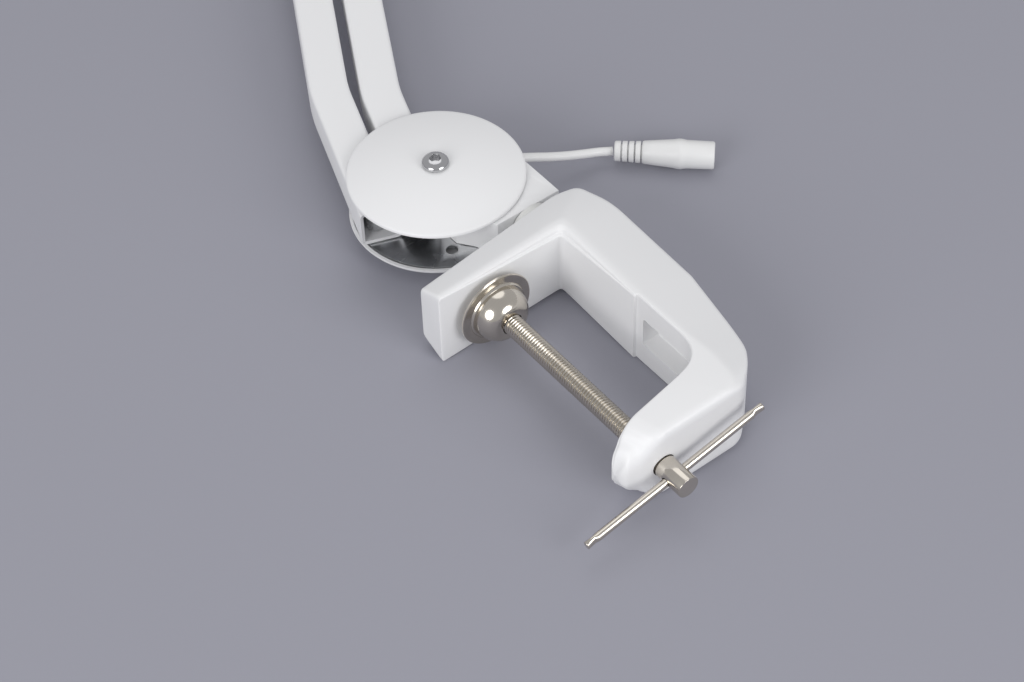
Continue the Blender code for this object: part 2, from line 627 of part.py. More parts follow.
def make_tilt_lug(wrist, looks):
    tilt = joint_axis("head_tilt_axis", wrist, *WRIST_CENTRE)
    half = TUBE_SIDE / 2
    outline = slot_outline((0, 0), (LUG_LENGTH - LUG_WIDTH / 2, 0), LUG_WIDTH / 2)
    at = (*WRIST_CENTRE, MID)
    turn = (0, 0, STEM_ANGLE)
    lug = add("tilt_lug", prism(outline, -half, half), looks["white"], tilt, at, turn)
    cut(lug, rods([(0, 0)], HUB_SCREW_DIAMETER / 2 + FIT, -half - 0.001, half + 0.001), at, turn)
    cut(lug, rod(STEM_DIAMETER / 2 + FIT, LUG_LENGTH - 0.018, LUG_LENGTH + 0.01), at, along(STEM_ANGLE))
    return tilt


def make_head(tilt, looks):
    axis_at = WRIST_CENTRE + polar(LUG_LENGTH, STEM_ANGLE)
    head = joint_axis("head_swivel_axis", tilt, *axis_at)
    rim = HEAD_REACH
    radius, collar = STEM_DIAMETER / 2, STEM_DIAMETER / 2 + 0.003
    stem = turned([(0, LUG_LENGTH - 0.0175), (radius, LUG_LENGTH - 0.0175), (radius, LUG_LENGTH + 2 * FIT),
                   (collar, LUG_LENGTH + 2 * FIT), (collar, rim - 2 * FIT), (radius, rim - 2 * FIT),
                   (radius, rim + HEAD_WALL + 0.0005), (0, rim + HEAD_WALL + 0.0005)], 18)
    add("head_stem", stem, looks["steel"], head, (*WRIST_CENTRE, MID), along(STEM_ANGLE))
    make_head_shells(head, looks, rim)
    make_buttons(head, looks)


def make_head_shells(head, looks, rim):
    """Rings about the lens's axis: the back shell, front bezel, lens, its ring, the diffuser and the board."""
    at = (*HEAD_CENTRE, MID - HEAD_DEPTH / 2)
    out, wall, lens = HEAD_RADIUS, HEAD_WALL, LENS_RADIUS
    sides = HEAD_SIDES
    seat = lens + 0.0005
    depth = HEAD_DEPTH
    split = depth - 0.0087
    shell = [
        (seat - 0.0030, 0), (out - 0.0090, 0), (out - 0.0026, 0.0026), (out, 0.0090), (out, split), (out - wall, split),
        (out - wall, 0.0096), (out - wall - 0.0020, 0.0040), (out - 0.0095, wall), (seat + wall, wall),
        (seat + wall, depth - 0.0135), (seat, depth - 0.0135), (seat, 0.0080), (seat - 0.0030, 0.0080),
    ]
    housing = add("head_housing", turned(shell, sides, ring=True), looks["shell"], head, at)
    cut(housing, rod(STEM_DIAMETER / 2 + FIT, rim - 0.004, rim + wall + 0.004), (*WRIST_CENTRE, MID),
        along(STEM_ANGLE))
    for angle in BUTTON_ANGLES:
        cut(housing, rod(BUTTON_RADIUS + FIT, out - wall - 0.004, out + 0.004), (*HEAD_CENTRE, MID - 0.0035),
            along(angle))
    groove = depth - 0.0068
    bezel = [
        (out, split + FIT), (out, depth - 0.0020), (out - 0.0020, depth), (out - 0.0070, depth),
        (out - 0.0090, depth - 0.0020), (out - 0.0090, groove + 0.0026), (out - 0.0057, groove + 0.0026),
        (out - 0.0057, groove), (out - 0.0075, groove), (out - 0.0075, split + FIT),
    ]
    add("head_bezel", turned(bezel, sides, ring=True), looks["shell"], head, at)
    glass_low = 0.0080 + FIT
    glass_high = glass_low + LENS_EDGE
    curved = lens - 0.0035  # inside the flat rim that is held
    arc = [(curved * share, LENS_CROWN * (1 - share ** 2)) for share in (0, 0.35, 0.7, 1.0)]
    glass = [(radius, glass_low - crown) for radius, crown in arc] + [(lens, glass_low), (lens, glass_high)]
    glass += [(radius, glass_high + crown) for radius, crown in reversed(arc)]
    add("magnifying_lens", turned(glass, sides), looks["glass"], head, at)
    ring_low, flange = glass_high + FIT, groove + 0.0026
    sleeve = [(lens - 0.0022, ring_low), (lens + 0.0002, ring_low), (lens + 0.0002, flange), (lens + 0.0065, flange),
              (lens + 0.0065, flange + 0.0015), (lens + 0.0005, flange + 0.0025), (lens - 0.0022, flange + 0.0005)]
    add("lens_ring", turned(sleeve, sides, ring=True), looks["shell"], head, at)
    inner = lens + 0.0002 + 2 * FIT
    plate = [(inner, groove + FIT), (out - 0.0060, groove + FIT), (out - 0.0060, groove + 0.0023),
             (inner, groove + 0.0023)]
    add("light_diffuser", turned(plate, sides, ring=True), looks["diffuser"], head, at)
    board_low = depth - 0.0135 + FIT
    board = [(inner, board_low), (out - wall - 0.0010, board_low), (out - wall - 0.0010, board_low + 0.0016),
             (inner, board_low + 0.0016)]
    add("led_board", turned(board, sides, ring=True), looks["board"], head, at)


def make_buttons(head, looks):
    """Three push buttons through the rim: power, brighter and dimmer."""
    names = ("power_button", "brighter_button", "dimmer_button")
    height = MID - 0.0035
    inside = (HEAD_RADIUS - HEAD_WALL) * math.cos(math.pi / HEAD_SIDES)
    flange = BUTTON_RADIUS + 0.0008
    for name, angle in zip(names, BUTTON_ANGLES):
        spot = HEAD_CENTRE + polar(HEAD_RADIUS, angle)
        axis = joint_axis(f"{name}_axis", head, *spot, height)
        profile = [(0, inside - 0.0030), (flange, inside - 0.0030), (flange, inside - 0.0009),
                   (BUTTON_RADIUS, inside - 0.0009), (BUTTON_RADIUS, HEAD_RADIUS + 0.0009),
                   (BUTTON_RADIUS - 0.0006, HEAD_RADIUS + 0.0015), (0, HEAD_RADIUS + 0.0015)]
        add(name, turned(profile, 16), looks["rubber"], axis, (*HEAD_CENTRE, height), along(angle))


# ---------------------------------------------------------------- the lamp


def make_looks():
    return {
        "white": material("white_powder_coat", (0.80, 0.80, 0.80), 0.42),
        "shell": material("white_moulding", (0.82, 0.82, 0.82), 0.38),
        "nickel": material("warm_nickel", (0.56, 0.52, 0.46), 0.26, 1.0),
        "chrome": material("chrome", (0.62, 0.62, 0.63), 0.15, 1.0),
        "steel": material("zinc_steel", (0.42, 0.43, 0.44), 0.32, 1.0),
        "vinyl": material("white_vinyl", (0.78, 0.78, 0.77), 0.45),
        "nylon": material("white_nylon", (0.70, 0.70, 0.69), 0.50),
        "rubber": material("grey_rubber", (0.30, 0.31, 0.33), 0.60),
        "glass": material("clear_glass", (0.95, 0.98, 0.97), 0.02, 0.0, 1.0),
        "diffuser": material("opal_diffuser", (0.88, 0.88, 0.86), 0.55),
        "board": material("white_circuit_board", (0.60, 0.64, 0.60), 0.50),
    }


def settle_origin(root, cord_names):
    """Moves the lamp so that the origin is the middle of the underside of all but the free lead."""
    bpy.context.view_layer.update()
    graph = bpy.context.evaluated_depsgraph_get()
    corners = []
    for item in bpy.data.objects:
        if item.type == "EMPTY" or item.hide_render or item.name in cord_names:
            continue
        evaluated = item.evaluated_get(graph)
        mesh = evaluated.to_mesh()
        corners += [evaluated.matrix_world @ vertex.co for vertex in mesh.vertices]
        evaluated.to_mesh_clear()
    low = [min(corner[i] for corner in corners) for i in range(3)]
    high = [max(corner[i] for corner in corners) for i in range(3)]
    root.location = (-(low[0] + high[0]) / 2, -(low[1] + high[1]) / 2, -low[2])


def main():
    clear_scene()
    looks = make_looks()
    root = joint_axis("lamp_origin", None, 0, 0, 0)
    make_clamp(root, looks)
    make_screw(root, looks)
    base = make_base(root, looks)
    make_lead(base, looks)
    arm = make_lower_arm(base, looks)
    elbow = make_elbow(arm, looks)
    upper = make_upper_arm(elbow, looks)
    wrist = make_wrist(upper, looks)
    tilt = make_tilt_lug(wrist, looks)
    make_head(tilt, looks)
    settle_origin(root, ("power_lead", "power_jack", "jack_contact"))


main()
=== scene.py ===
"""The looks of a bench magnifying lamp that lies on its side.

It has a screw clamp, a base joint with domed covers, two arms of parallel square tubes and a ring-light head.
Everything is in metres, in the frame of the loaded model.
"""

import json
import math

import bmesh
import bpy
from mathutils import Matrix, Vector


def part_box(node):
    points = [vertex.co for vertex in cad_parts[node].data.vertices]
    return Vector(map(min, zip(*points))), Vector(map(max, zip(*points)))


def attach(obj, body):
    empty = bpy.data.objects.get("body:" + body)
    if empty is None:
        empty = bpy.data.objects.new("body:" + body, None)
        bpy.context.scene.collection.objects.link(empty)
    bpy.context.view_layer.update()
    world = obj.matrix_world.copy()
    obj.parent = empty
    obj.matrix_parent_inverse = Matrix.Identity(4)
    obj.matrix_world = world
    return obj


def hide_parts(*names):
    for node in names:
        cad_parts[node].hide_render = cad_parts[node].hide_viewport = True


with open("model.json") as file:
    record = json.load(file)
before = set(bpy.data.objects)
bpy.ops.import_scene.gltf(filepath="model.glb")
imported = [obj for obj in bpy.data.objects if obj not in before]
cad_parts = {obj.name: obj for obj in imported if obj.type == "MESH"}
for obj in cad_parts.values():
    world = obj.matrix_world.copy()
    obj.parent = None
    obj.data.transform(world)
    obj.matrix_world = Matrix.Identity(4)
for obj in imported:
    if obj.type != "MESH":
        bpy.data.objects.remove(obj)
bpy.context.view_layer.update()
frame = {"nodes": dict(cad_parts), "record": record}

JOINTS = {joint["name"]: joint for joint in frame["record"]["behaviour"]["joints"]}


def pivot(joint):
    return Vector(JOINTS[joint]["pos_m"])


def box_of(node):
    low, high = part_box(node)
    return Vector(low), Vector(high)


def middle_of(node):
    low, high = box_of(node)
    return (low + high) / 2


# ---------------------------------------------------------------- sizes

POST = pivot("base_swivel")
MID = POST.z  # height of the middle plane of the clamp, the joints and the arms
DEPTH = 2 * MID  # of the clamp
CORNER = POST - Vector((0.004, 0.0238, MID))  # the upper jaw's inner corner, on the floor
FIT = 0.0003  # clearance between pieces
MERGE = 1e-6  # points that are closer than this are one

TUBE_SIDE = 0.01545
TUBE_WALL = 0.0012
TUBE_CORNER = 0.0017  # rounding of the tube's edges
TUBE_END = 0.008  # past a pivot
TUBE_DEBURR = 0.0003  # how far the bore's edge lies inside a tube's end
LOWER_ANGLE = math.radians(70.2)
LOWER_BEND = math.radians(-8.7)
LOWER_ENDS = 0.065  # length of the legs before and after the bends
LOWER_SHIFT = 0.026  # how much earlier tube B bends than tube A
SPRING_LENGTH = 0.150
UPPER_ANGLE = math.radians(165)
STEM_ANGLE = math.radians(200)

COVER_RADIUS = 0.0342
COVER_RISE = 0.0042
COVER_WALL = 0.0012
PLATE_IN = TUBE_SIDE / 2 + 0.0006  # height of a side plate's inner face over the middle plane
PLATE_OUT = PLATE_IN + 0.0015
PLATE_RADIUS = COVER_RADIUS - COVER_WALL - 2 * FIT
RIM = PLATE_OUT + FIT / 2  # where the cover's dome starts
APEX = RIM + COVER_RISE
PIVOT_RADIUS = 0.0025
RIVET_RADIUS = 0.0020
HUB_SCREW_RADIUS = 0.003
BUTTON_RADIUS = 0.00525  # of the centre screw's head
BUTTON_RIM = 0.0006
BUTTON_RISE = 0.0024
NUT_RADIUS = 0.0050

THREAD_RADIUS = 0.004
THREAD_PITCH = 0.00125
THREAD_DEPTH = 0.00062
LEAD_DIAMETER = 0.0036

DRILL_SIDES = 32
HUB_CENTRES = {name: middle_of(f"{name}_plate_top").xy for name in ("base", "elbow", "wrist")}
HEAD_CENTRE = middle_of("magnifying_lens").xy
SIDES = 128


# ---------------------------------------------------------------- materials


class Wire:
    """An output socket. Python's operators on it add Math nodes."""

    def __init__(self, look, socket):
        self.look = look
        self.socket = socket

    def _join(self, operation, other):
        return self.look.node("Math", {"operation": operation}, {0: self, 1: other})

    def __add__(self, other):
        return self._join("ADD", other)

    def __mul__(self, other):
        return self._join("MULTIPLY", other)

    __radd__ = __add__
    __rmul__ = __mul__


class Look:
    """A material: constants go straight on the shader's sockets, and patterns are wired in with node()."""

    def __init__(self, name, colour=(0.8, 0.8, 0.8), **constants):
        self.material = bpy.data.materials.new(name)
        self.material.use_nodes = True
        self.tree = self.material.node_tree
        self.shader = self.tree.nodes["Principled BSDF"]
        self.set("Base Color", (*colour, 1))
        for socket, value in constants.items():
            self.set(socket.replace("_", " "), value)
        self.place = self.node("TexCoord", output="Object")

    def set(self, socket, value):
        self._feed(self.shader.inputs[socket], value)

    def _feed(self, socket, value):
        if isinstance(value, Wire):
            self.tree.links.new(value.socket, socket)
        else:
            socket.default_value = value

    def node(self, kind, settings=None, inputs=None, output=0):
        made = self.tree.nodes.new("ShaderNode" + kind)
        for key, value in (settings or {}).items():
            if key == "stops":
                for stop, (position, shade) in zip(made.color_ramp.elements, value):
                    stop.position = position
                    stop.color = (shade, shade, shade, 1)
            else:
                setattr(made, key, value)
        for key, value in (inputs or {}).items():
            self._feed(made.inputs[key], value)
        return Wire(self, made.outputs[output])

    def noise(self, scale, detail=2.0, stretch=None, roughness=0.5):
        """Noise from 0 to 1. stretch multiplies the coordinates along X, Y and Z first."""
        place = self.place
        if stretch:
            place = self.node("VectorMath", {"operation": "MULTIPLY"}, {0: place, 1: stretch})
        inputs = {"Vector": place, "Scale": scale, "Detail": detail, "Roughness": roughness}
        return self.node("TexNoise", {}, inputs)

    def ramp(self, value, low, high, dark=0.0, light=1.0):
        return self.node("ValToRGB", {"stops": ((low, dark), (high, light))}, {"Fac": value})

    def blend(self, factor, one, two):
        """One colour at factor 0 and the other at 1."""
        return self.node("Mix", {"data_type": "RGBA"}, {0: factor, 6: (*one, 1), 7: (*two, 1)}, output=2)

    def bump(self, height, distance, strength=1.0):
        inputs = {"Height": height, "Distance": distance, "Strength": strength}
        self.set("Normal", self.node("Bump", {}, inputs))


def coated_white(name, colour, roughness, grain, depth):
    """White paint or moulded plastic: a trace of unevenness in the colour, and a fine skin."""
    look = Look(name, IOR=1.48)
    cloud = look.noise(14, 3)
    skin = look.noise(grain, 3)
    darker = tuple(channel * 0.965 for channel in colour)
    look.set("Base Color", look.blend(cloud, darker, colour))
    look.set("Roughness", roughness - 0.04 + cloud * 0.05 + skin * 0.04)
    look.bump(skin, depth, 0.5)
    return look.material


def turned_metal(name, light, dark, roughness, stretch, scale=60):
    """Plated metal with fine lines round it from turning, and a few rubs."""
    look = Look(name, Metallic=1.0)
    lines = look.noise(scale, 3, stretch, 0.7)
    rubs = look.noise(90, 4)
    look.set("Base Color", look.blend(rubs * 0.5 + lines * 0.5, dark, light))
    look.set("Roughness", roughness - 0.05 + lines * 0.07 + look.ramp(rubs, 0.45, 0.75) * 0.07)
    look.bump(lines, 0.000008, 0.35)
    return look.material


def zinc_steel():
    look = Look("zinc_steel", Metallic=1.0)
    grain = look.noise(220, 4, (1, 0.06, 1), 0.7)
    cloud = look.noise(60, 3)
    scratches = look.ramp(look.noise(700, 2, (0.05, 1, 1), 0.8), 0.62, 0.7)
    look.set("Base Color", look.blend(cloud, (0.52, 0.525, 0.535), (0.72, 0.73, 0.74)))
    look.set("Roughness", 0.20 + cloud * 0.12 + scratches * 0.15)
    look.bump(grain, 0.00001, 0.4)
    return look.material


def vinyl():
    look = Look("white_vinyl", IOR=1.5)
    cloud = look.noise(40, 3)
    skin = look.noise(2600, 2)
    look.set("Base Color", look.blend(cloud, (0.76, 0.76, 0.755), (0.82, 0.82, 0.815)))
    look.set("Roughness", 0.36 + cloud * 0.08)
    look.bump(skin, 0.00001, 0.4)
    return look.material


def lens_glass():
    look = Look("lens_glass", (0.975, 0.99, 0.985), Transmission_Weight=1.0, IOR=1.52)
    smears = look.ramp(look.noise(28, 4, (1, 0.4, 1), 0.6), 0.55, 0.8)
    look.set("Roughness", 0.004 + smears * 0.03)
    return look.material


def opal():
    look = Look("opal_acrylic", Subsurface_Weight=0.25, Subsurface_Scale=0.003, IOR=1.49)
    cells = look.node("TexVoronoi", {}, {"Vector": look.place, "Scale": 620.0})
    cloud = look.noise(30, 2)
    look.set("Base Color", look.blend(cloud, (0.84, 0.84, 0.82), (0.89, 0.89, 0.875)))
    look.set("Roughness", 0.42 + cloud * 0.08)
    look.bump(cells, 0.00006, 0.5)
    return look.material


def circuit_board():
    look = Look("circuit_board", IOR=1.5)
    tracks = look.node("TexVoronoi", {"distance": "CHEBYCHEV"}, {"Vector": look.place, "Scale": 160.0})
    weave = look.noise(500, 2)
    copper = look.ramp(tracks, 0.30, 0.36)
    look.set("Base Color", look.blend(copper, (0.74, 0.78, 0.74), (0.66, 0.71, 0.66)))
    look.set("Roughness", 0.35 + weave * 0.1)
    look.bump(copper, 0.00003, 0.5)
    return look.material


def rubber():
    look = Look("silicone_rubber", IOR=1.43)
    dust = look.noise(900, 4)
    look.set("Base Color", look.blend(dust, (0.085, 0.088, 0.095), (0.13, 0.135, 0.145)))
    look.set("Roughness", 0.55 + dust * 0.15)
    look.bump(dust, 0.00002, 0.5)
    return look.material


def phosphor():
    look = Look("led_phosphor", IOR=1.45)
    grain = look.noise(3000, 2)
    look.set("Base Color", look.blend(grain, (0.85, 0.72, 0.20), (0.90, 0.80, 0.32)))
    look.set("Roughness", 0.25 + grain * 0.2)
    return look.material


def floor_look():
    look = Look("floor_paper")
    fibre = look.noise(900, 3)
    cloud = look.noise(3, 2)
    look.set("Base Color", look.blend(cloud, (0.312, 0.312, 0.360), (0.326, 0.326, 0.375)))
    look.set("Roughness", 0.75 + fibre * 0.1)
    look.bump(fibre, 0.00005, 0.3)
    return look.material


# Stretches of the turning lines, for pieces that were turned about X, Y or Z
ROUND_Y = (0.02, 30.0, 0.02)
ROUND_Z = (0.02, 0.02, 30.0)
WHITE = coated_white("white_powder_coat", (0.83, 0.83, 0.835), 0.40, 1500, 0.00002)
MOULDED = coated_white("white_moulding", (0.84, 0.84, 0.84), 0.34, 3200, 0.000012)
NYLON = coated_white("natural_nylon", (0.74, 0.74, 0.72), 0.48, 2400, 0.00002)
NICKEL = turned_metal("warm_nickel", (0.70, 0.655, 0.585), (0.55, 0.51, 0.45), 0.15, ROUND_Y)
BAR_NICKEL = turned_metal("drawn_nickel", (0.70, 0.655, 0.585), (0.55, 0.51, 0.45), 0.16, (1.0, 30.0, 30.0))
CHROME = turned_metal("chrome", (0.60, 0.60, 0.61), (0.48, 0.48, 0.49), 0.11, ROUND_Z)
STEEL = zinc_steel()
LINING = coated_white("tube_lining", (0.62, 0.62, 0.63), 0.5, 900, 0.00002)
SPRING_STEEL = turned_metal("spring_steel", (0.42, 0.42, 0.43), (0.28, 0.28, 0.29), 0.34, (1, 1, 1), 300)
VINYL = vinyl()
GLASS = lens_glass()
OPAL = opal()
BOARD = circuit_board()
RUBBER = rubber()
PHOSPHOR = phosphor()


# ---------------------------------------------------------------- mesh work


def piece(name, shape, looks, body, nodes=(), sharp=32):
    """A finished piece from a bmesh that is already in place."""
    mesh = bpy.data.meshes.new(name)
    shape.to_mesh(mesh)
    shape.free()
    for look in looks if isinstance(looks, (list, tuple)) else [looks]:
        mesh.materials.append(look)
    mesh.shade_smooth()
    mesh.set_sharp_from_angle(angle=math.radians(sharp))
    made = bpy.data.objects.new(name, mesh)
    bpy.context.collection.objects.link(made)
    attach(made, body)
    if nodes:
        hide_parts(*nodes)
    return made


def move(shape, matrix):
    bmesh.ops.transform(shape, matrix=matrix, verts=shape.verts)
    return shape


def at(x, y, z):
    return Matrix.Translation((x, y, z))


def along_y(x, y):
    """Lays a shape that was turned about Z along +Y, in the middle plane."""
    return at(x, y, MID) @ Matrix.Rotation(math.radians(-90), 4, "X")


def along(point, angle):
    """Lays a shape that was turned about Z in the XY plane."""
    turn = Matrix.Rotation(angle, 4, "Z") @ Matrix.Rotation(math.radians(90), 4, "Y")
    return Matrix.Translation(point) @ turn


def aimed(point, way):
    """Lays a shape that was turned about Z at a point, along any direction."""
    return Matrix.Translation(point) @ way.to_track_quat("Z", "Y").to_matrix().to_4x4()


def polar(length, angle):
    return Vector((length * math.cos(angle), length * math.sin(angle)))


def soften(shape, width, angle=28, segments=3):
    """Rounds every edge whose faces meet more sharply than the angle."""
    limit = math.radians(angle)
    edges = [edge for edge in shape.edges if len(edge.link_faces) == 2 and edge.calc_face_angle(0) > limit]
    bmesh.ops.bevel(shape, geom=edges, offset=width, offset_type="OFFSET", affect="EDGES", segments=segments,
                    profile=0.5, material=-1, clamp_overlap=True)
    return shape


def turned(profile, ring=False, edge=0.0, sides=SIDES):
    """Spins a profile of (radius, height) points about Z. edge is the rounding of its corners."""
    shape = bmesh.new()
    points = [shape.verts.new((radius, 0, height)) for radius, height in profile]
    edges = [shape.edges.new(pair) for pair in zip(points, points[1:])]
    if ring:
        edges.append(shape.edges.new((points[-1], points[0])))
    if edge:
        corners = points if ring else points[1:-1]
        bmesh.ops.bevel(shape, geom=corners, offset=edge, offset_type="OFFSET", affect="VERTICES",
                        segments=3, profile=0.5, material=-1, clamp_overlap=True)
        points = list(shape.verts)
        edges = list(shape.edges)
    bmesh.ops.spin(shape, geom=points + edges, axis=(0, 0, 1), cent=(0, 0, 0), steps=sides,
                   angle=math.tau, use_merge=True, use_duplicate=False)
    bmesh.ops.remove_doubles(shape, verts=shape.verts, dist=MERGE)
    bmesh.ops.recalc_face_normals(shape, faces=shape.faces)
    return shape


def quarter(inner, outer, foot, rise, steps=12):
    """A quarter of an ellipse in a profile, from its outer radius at the foot to its inner one at the top."""
    angles = [math.radians(90) * step / steps for step in range(steps + 1)]
    return [(inner + (outer - inner) * math.cos(angle), foot + rise * math.sin(angle)) for angle in angles]


def cone(low_radius, high_radius, low, high, sides):
    shape = bmesh.new()
    bmesh.ops.create_cone(shape, cap_ends=True, segments=sides, radius1=low_radius, radius2=high_radius,
                          depth=high - low, matrix=at(0, 0, (low + high) / 2))
    return shape


def cylinder(radius, low, high, sides=SIDES // 2):
    return cone(radius, radius, low, high, sides)


def hexagon(radius, turn=0):
    return [polar(radius, math.radians(60 * corner + turn)) for corner in range(6)]


def block(size, centre):
    shape = bmesh.new()
    bmesh.ops.create_cube(shape, size=1, matrix=Matrix.Translation(centre) @ Matrix.Diagonal((*size, 1)))
    return shape


def prism(outline, low, high):
    shape = bmesh.new()
    base = shape.faces.new([shape.verts.new((x, y, low)) for x, y in outline])
    top = bmesh.ops.extrude_face_region(shape, geom=[base])
    corners = [item for item in top["geom"] if isinstance(item, bmesh.types.BMVert)]
    bmesh.ops.translate(shape, vec=(0, 0, high - low), verts=corners)
    bmesh.ops.recalc_face_normals(shape, faces=shape.faces)
    return shape


def carve(shape, *cutters):
    """Takes each cutter away from a shape."""
    for cutter in cutters:
        pair = []
        for name, one in (("carved", shape), ("cutter", cutter)):
            mesh = bpy.data.meshes.new(name)
            one.to_mesh(mesh)
            one.free()
            pair.append(bpy.data.objects.new(name, mesh))
            bpy.context.collection.objects.link(pair[-1])
        boolean = pair[0].modifiers.new("Cut", "BOOLEAN")
        boolean.operation = "DIFFERENCE"
        boolean.solver = "EXACT"
        boolean.object = pair[1]
        graph = bpy.context.evaluated_depsgraph_get()
        shape = bmesh.new()
        shape.from_mesh(pair[0].evaluated_get(graph).to_mesh())
        for temporary in pair:
            mesh = temporary.data
            bpy.data.objects.remove(temporary, do_unlink=True)
            bpy.data.meshes.remove(mesh)
        bmesh.ops.remove_doubles(shape, verts=shape.verts, dist=MERGE)
    return shape


def copy_of(node):
    """A CAD node's mesh with its loose triangles merged, and its flat faces whole again."""
    shape = bmesh.new()
    shape.from_mesh(frame["nodes"][node].data)
    bmesh.ops.remove_doubles(shape, verts=shape.verts, dist=MERGE)
    bmesh.ops.dissolve_limit(shape, angle_limit=math.radians(1), verts=shape.verts, edges=shape.edges)
    return shape


def rounded_corners(points, reach, steps, closed):
    """Replaces the corners of a run of points with short curves.

    reach is one length, or one for each corner.
    """
    count = len(points)
    reaches = reach if isinstance(reach, (list, tuple)) else [reach] * count
    result = []
    for index, corner in enumerate(points):
        if not closed and index in (0, count - 1):
            result.append(corner)
            continue
        before, after = points[index - 1] - corner, points[(index + 1) % count] - corner
        start = corner + before.normalized() * min(reaches[index], before.length * 0.45)
        end = corner + after.normalized() * min(reaches[index], after.length * 0.45)
        for step in range(steps + 1):
            share = step / steps
            result.append(start * (1 - share) ** 2 + corner * 2 * share * (1 - share) + end * share ** 2)
    return result


def skin_over(rings, capped=True, lining=None):
    """A skin over a run of rings, bridged in turn. From ring number lining on, it has the second look."""
    shape = bmesh.new()
    loops = []
    for ring in rings:
        points = [shape.verts.new(point) for point in ring]
        loops.append([shape.edges.new((one, two)) for one, two in zip(points, points[1:] + points[:1])])
    for index, (one, two) in enumerate(zip(loops, loops[1:])):
        for face in bmesh.ops.bridge_loops(shape, edges=one + two)["faces"]:
            face.material_index = int(lining is not None and index >= lining)
    if capped:
        for loop in (loops[0], loops[-1]):
            bmesh.ops.contextual_create(shape, geom=loop)
    bmesh.ops.recalc_face_normals(shape, faces=shape.faces)
    return shape


def blunt_end(ring, way, radius, steps=5):
    """Rings that round off the end of a skin, from its last full ring outwards."""
    centre = sum(ring, Vector()) / len(ring)
    rings = []
    for step in range(1, steps + 1):
        angle = math.radians(90) * step / steps
        shrink = radius * (1 - math.cos(angle))
        shift = way * radius * math.sin(angle)
        rings.append([point + shift - (point - centre).normalized() * shrink for point in ring])
    return rings


def domed_end(ring, way, length, start, steps=9):
    """Rings that close the end of a skin as part of an ellipsoid, whose slope starts at the angle start."""
    centre = sum(ring, Vector()) / len(ring)
    last = math.radians(86)
    rings = []
    for step in range(1, steps + 1):
        angle = start + (last - start) * step / steps
        shift = way * length * (math.sin(angle) - math.sin(start)) / (1 - math.sin(start))
        scale = math.cos(angle) / math.cos(start)
        rings.append([centre + shift + (point - centre) * scale for point in ring])
    return rings


# ---------------------------------------------------------------- clamp

THROAT = 0.0331  # from the spine to the screw's axis
SPINE_STEP = -0.042  # where the spine's inner wall steps back
JAW_ROOT = -0.0775  # the lower jaw's inner face
JAW_FACE = -0.0986  # the lower jaw's outer face
JAW_HALF = MID - 0.00425  # half the height of the casting's outer wall
LOW_HALF = MID - 0.0020  # the same on the lower jaw
TIP_ROUND = 0.0014
NOSE_START = 0.78  # share of the way round the casting where the lower jaw's nose begins to get thinner
NOSE_FALL = 0.42  # share of its height that the nose loses
NOSE_ROUND = 0.0030  # how much rounder its corners get
NOSE_LENGTH = 0.0042  # of its domed end
POCKET_SIZE = (0.0150, 0.0280, 0.0130)
POCKET_AT = (0.0012, -0.0600)
POST_AXIS = along_y(POST.x, CORNER.y)
SCREW_AXIS = along_y(CORNER.x - THROAT, CORNER.y)
PAD_TOP = -0.003  # the pad's face, below the upper jaw
PAD_SEAT = PAD_TOP - 0.0035  # where the screw's tip bears
PAD_DEPTH = 0.0105
PAD_FLANGE = 0.0022
PAD_DOME = 0.0110
SCREW_HEAD = JAW_FACE - 0.0004  # top of the screw's plain head
BAR_HALF = 0.040
BAR_RADIUS = 0.0016


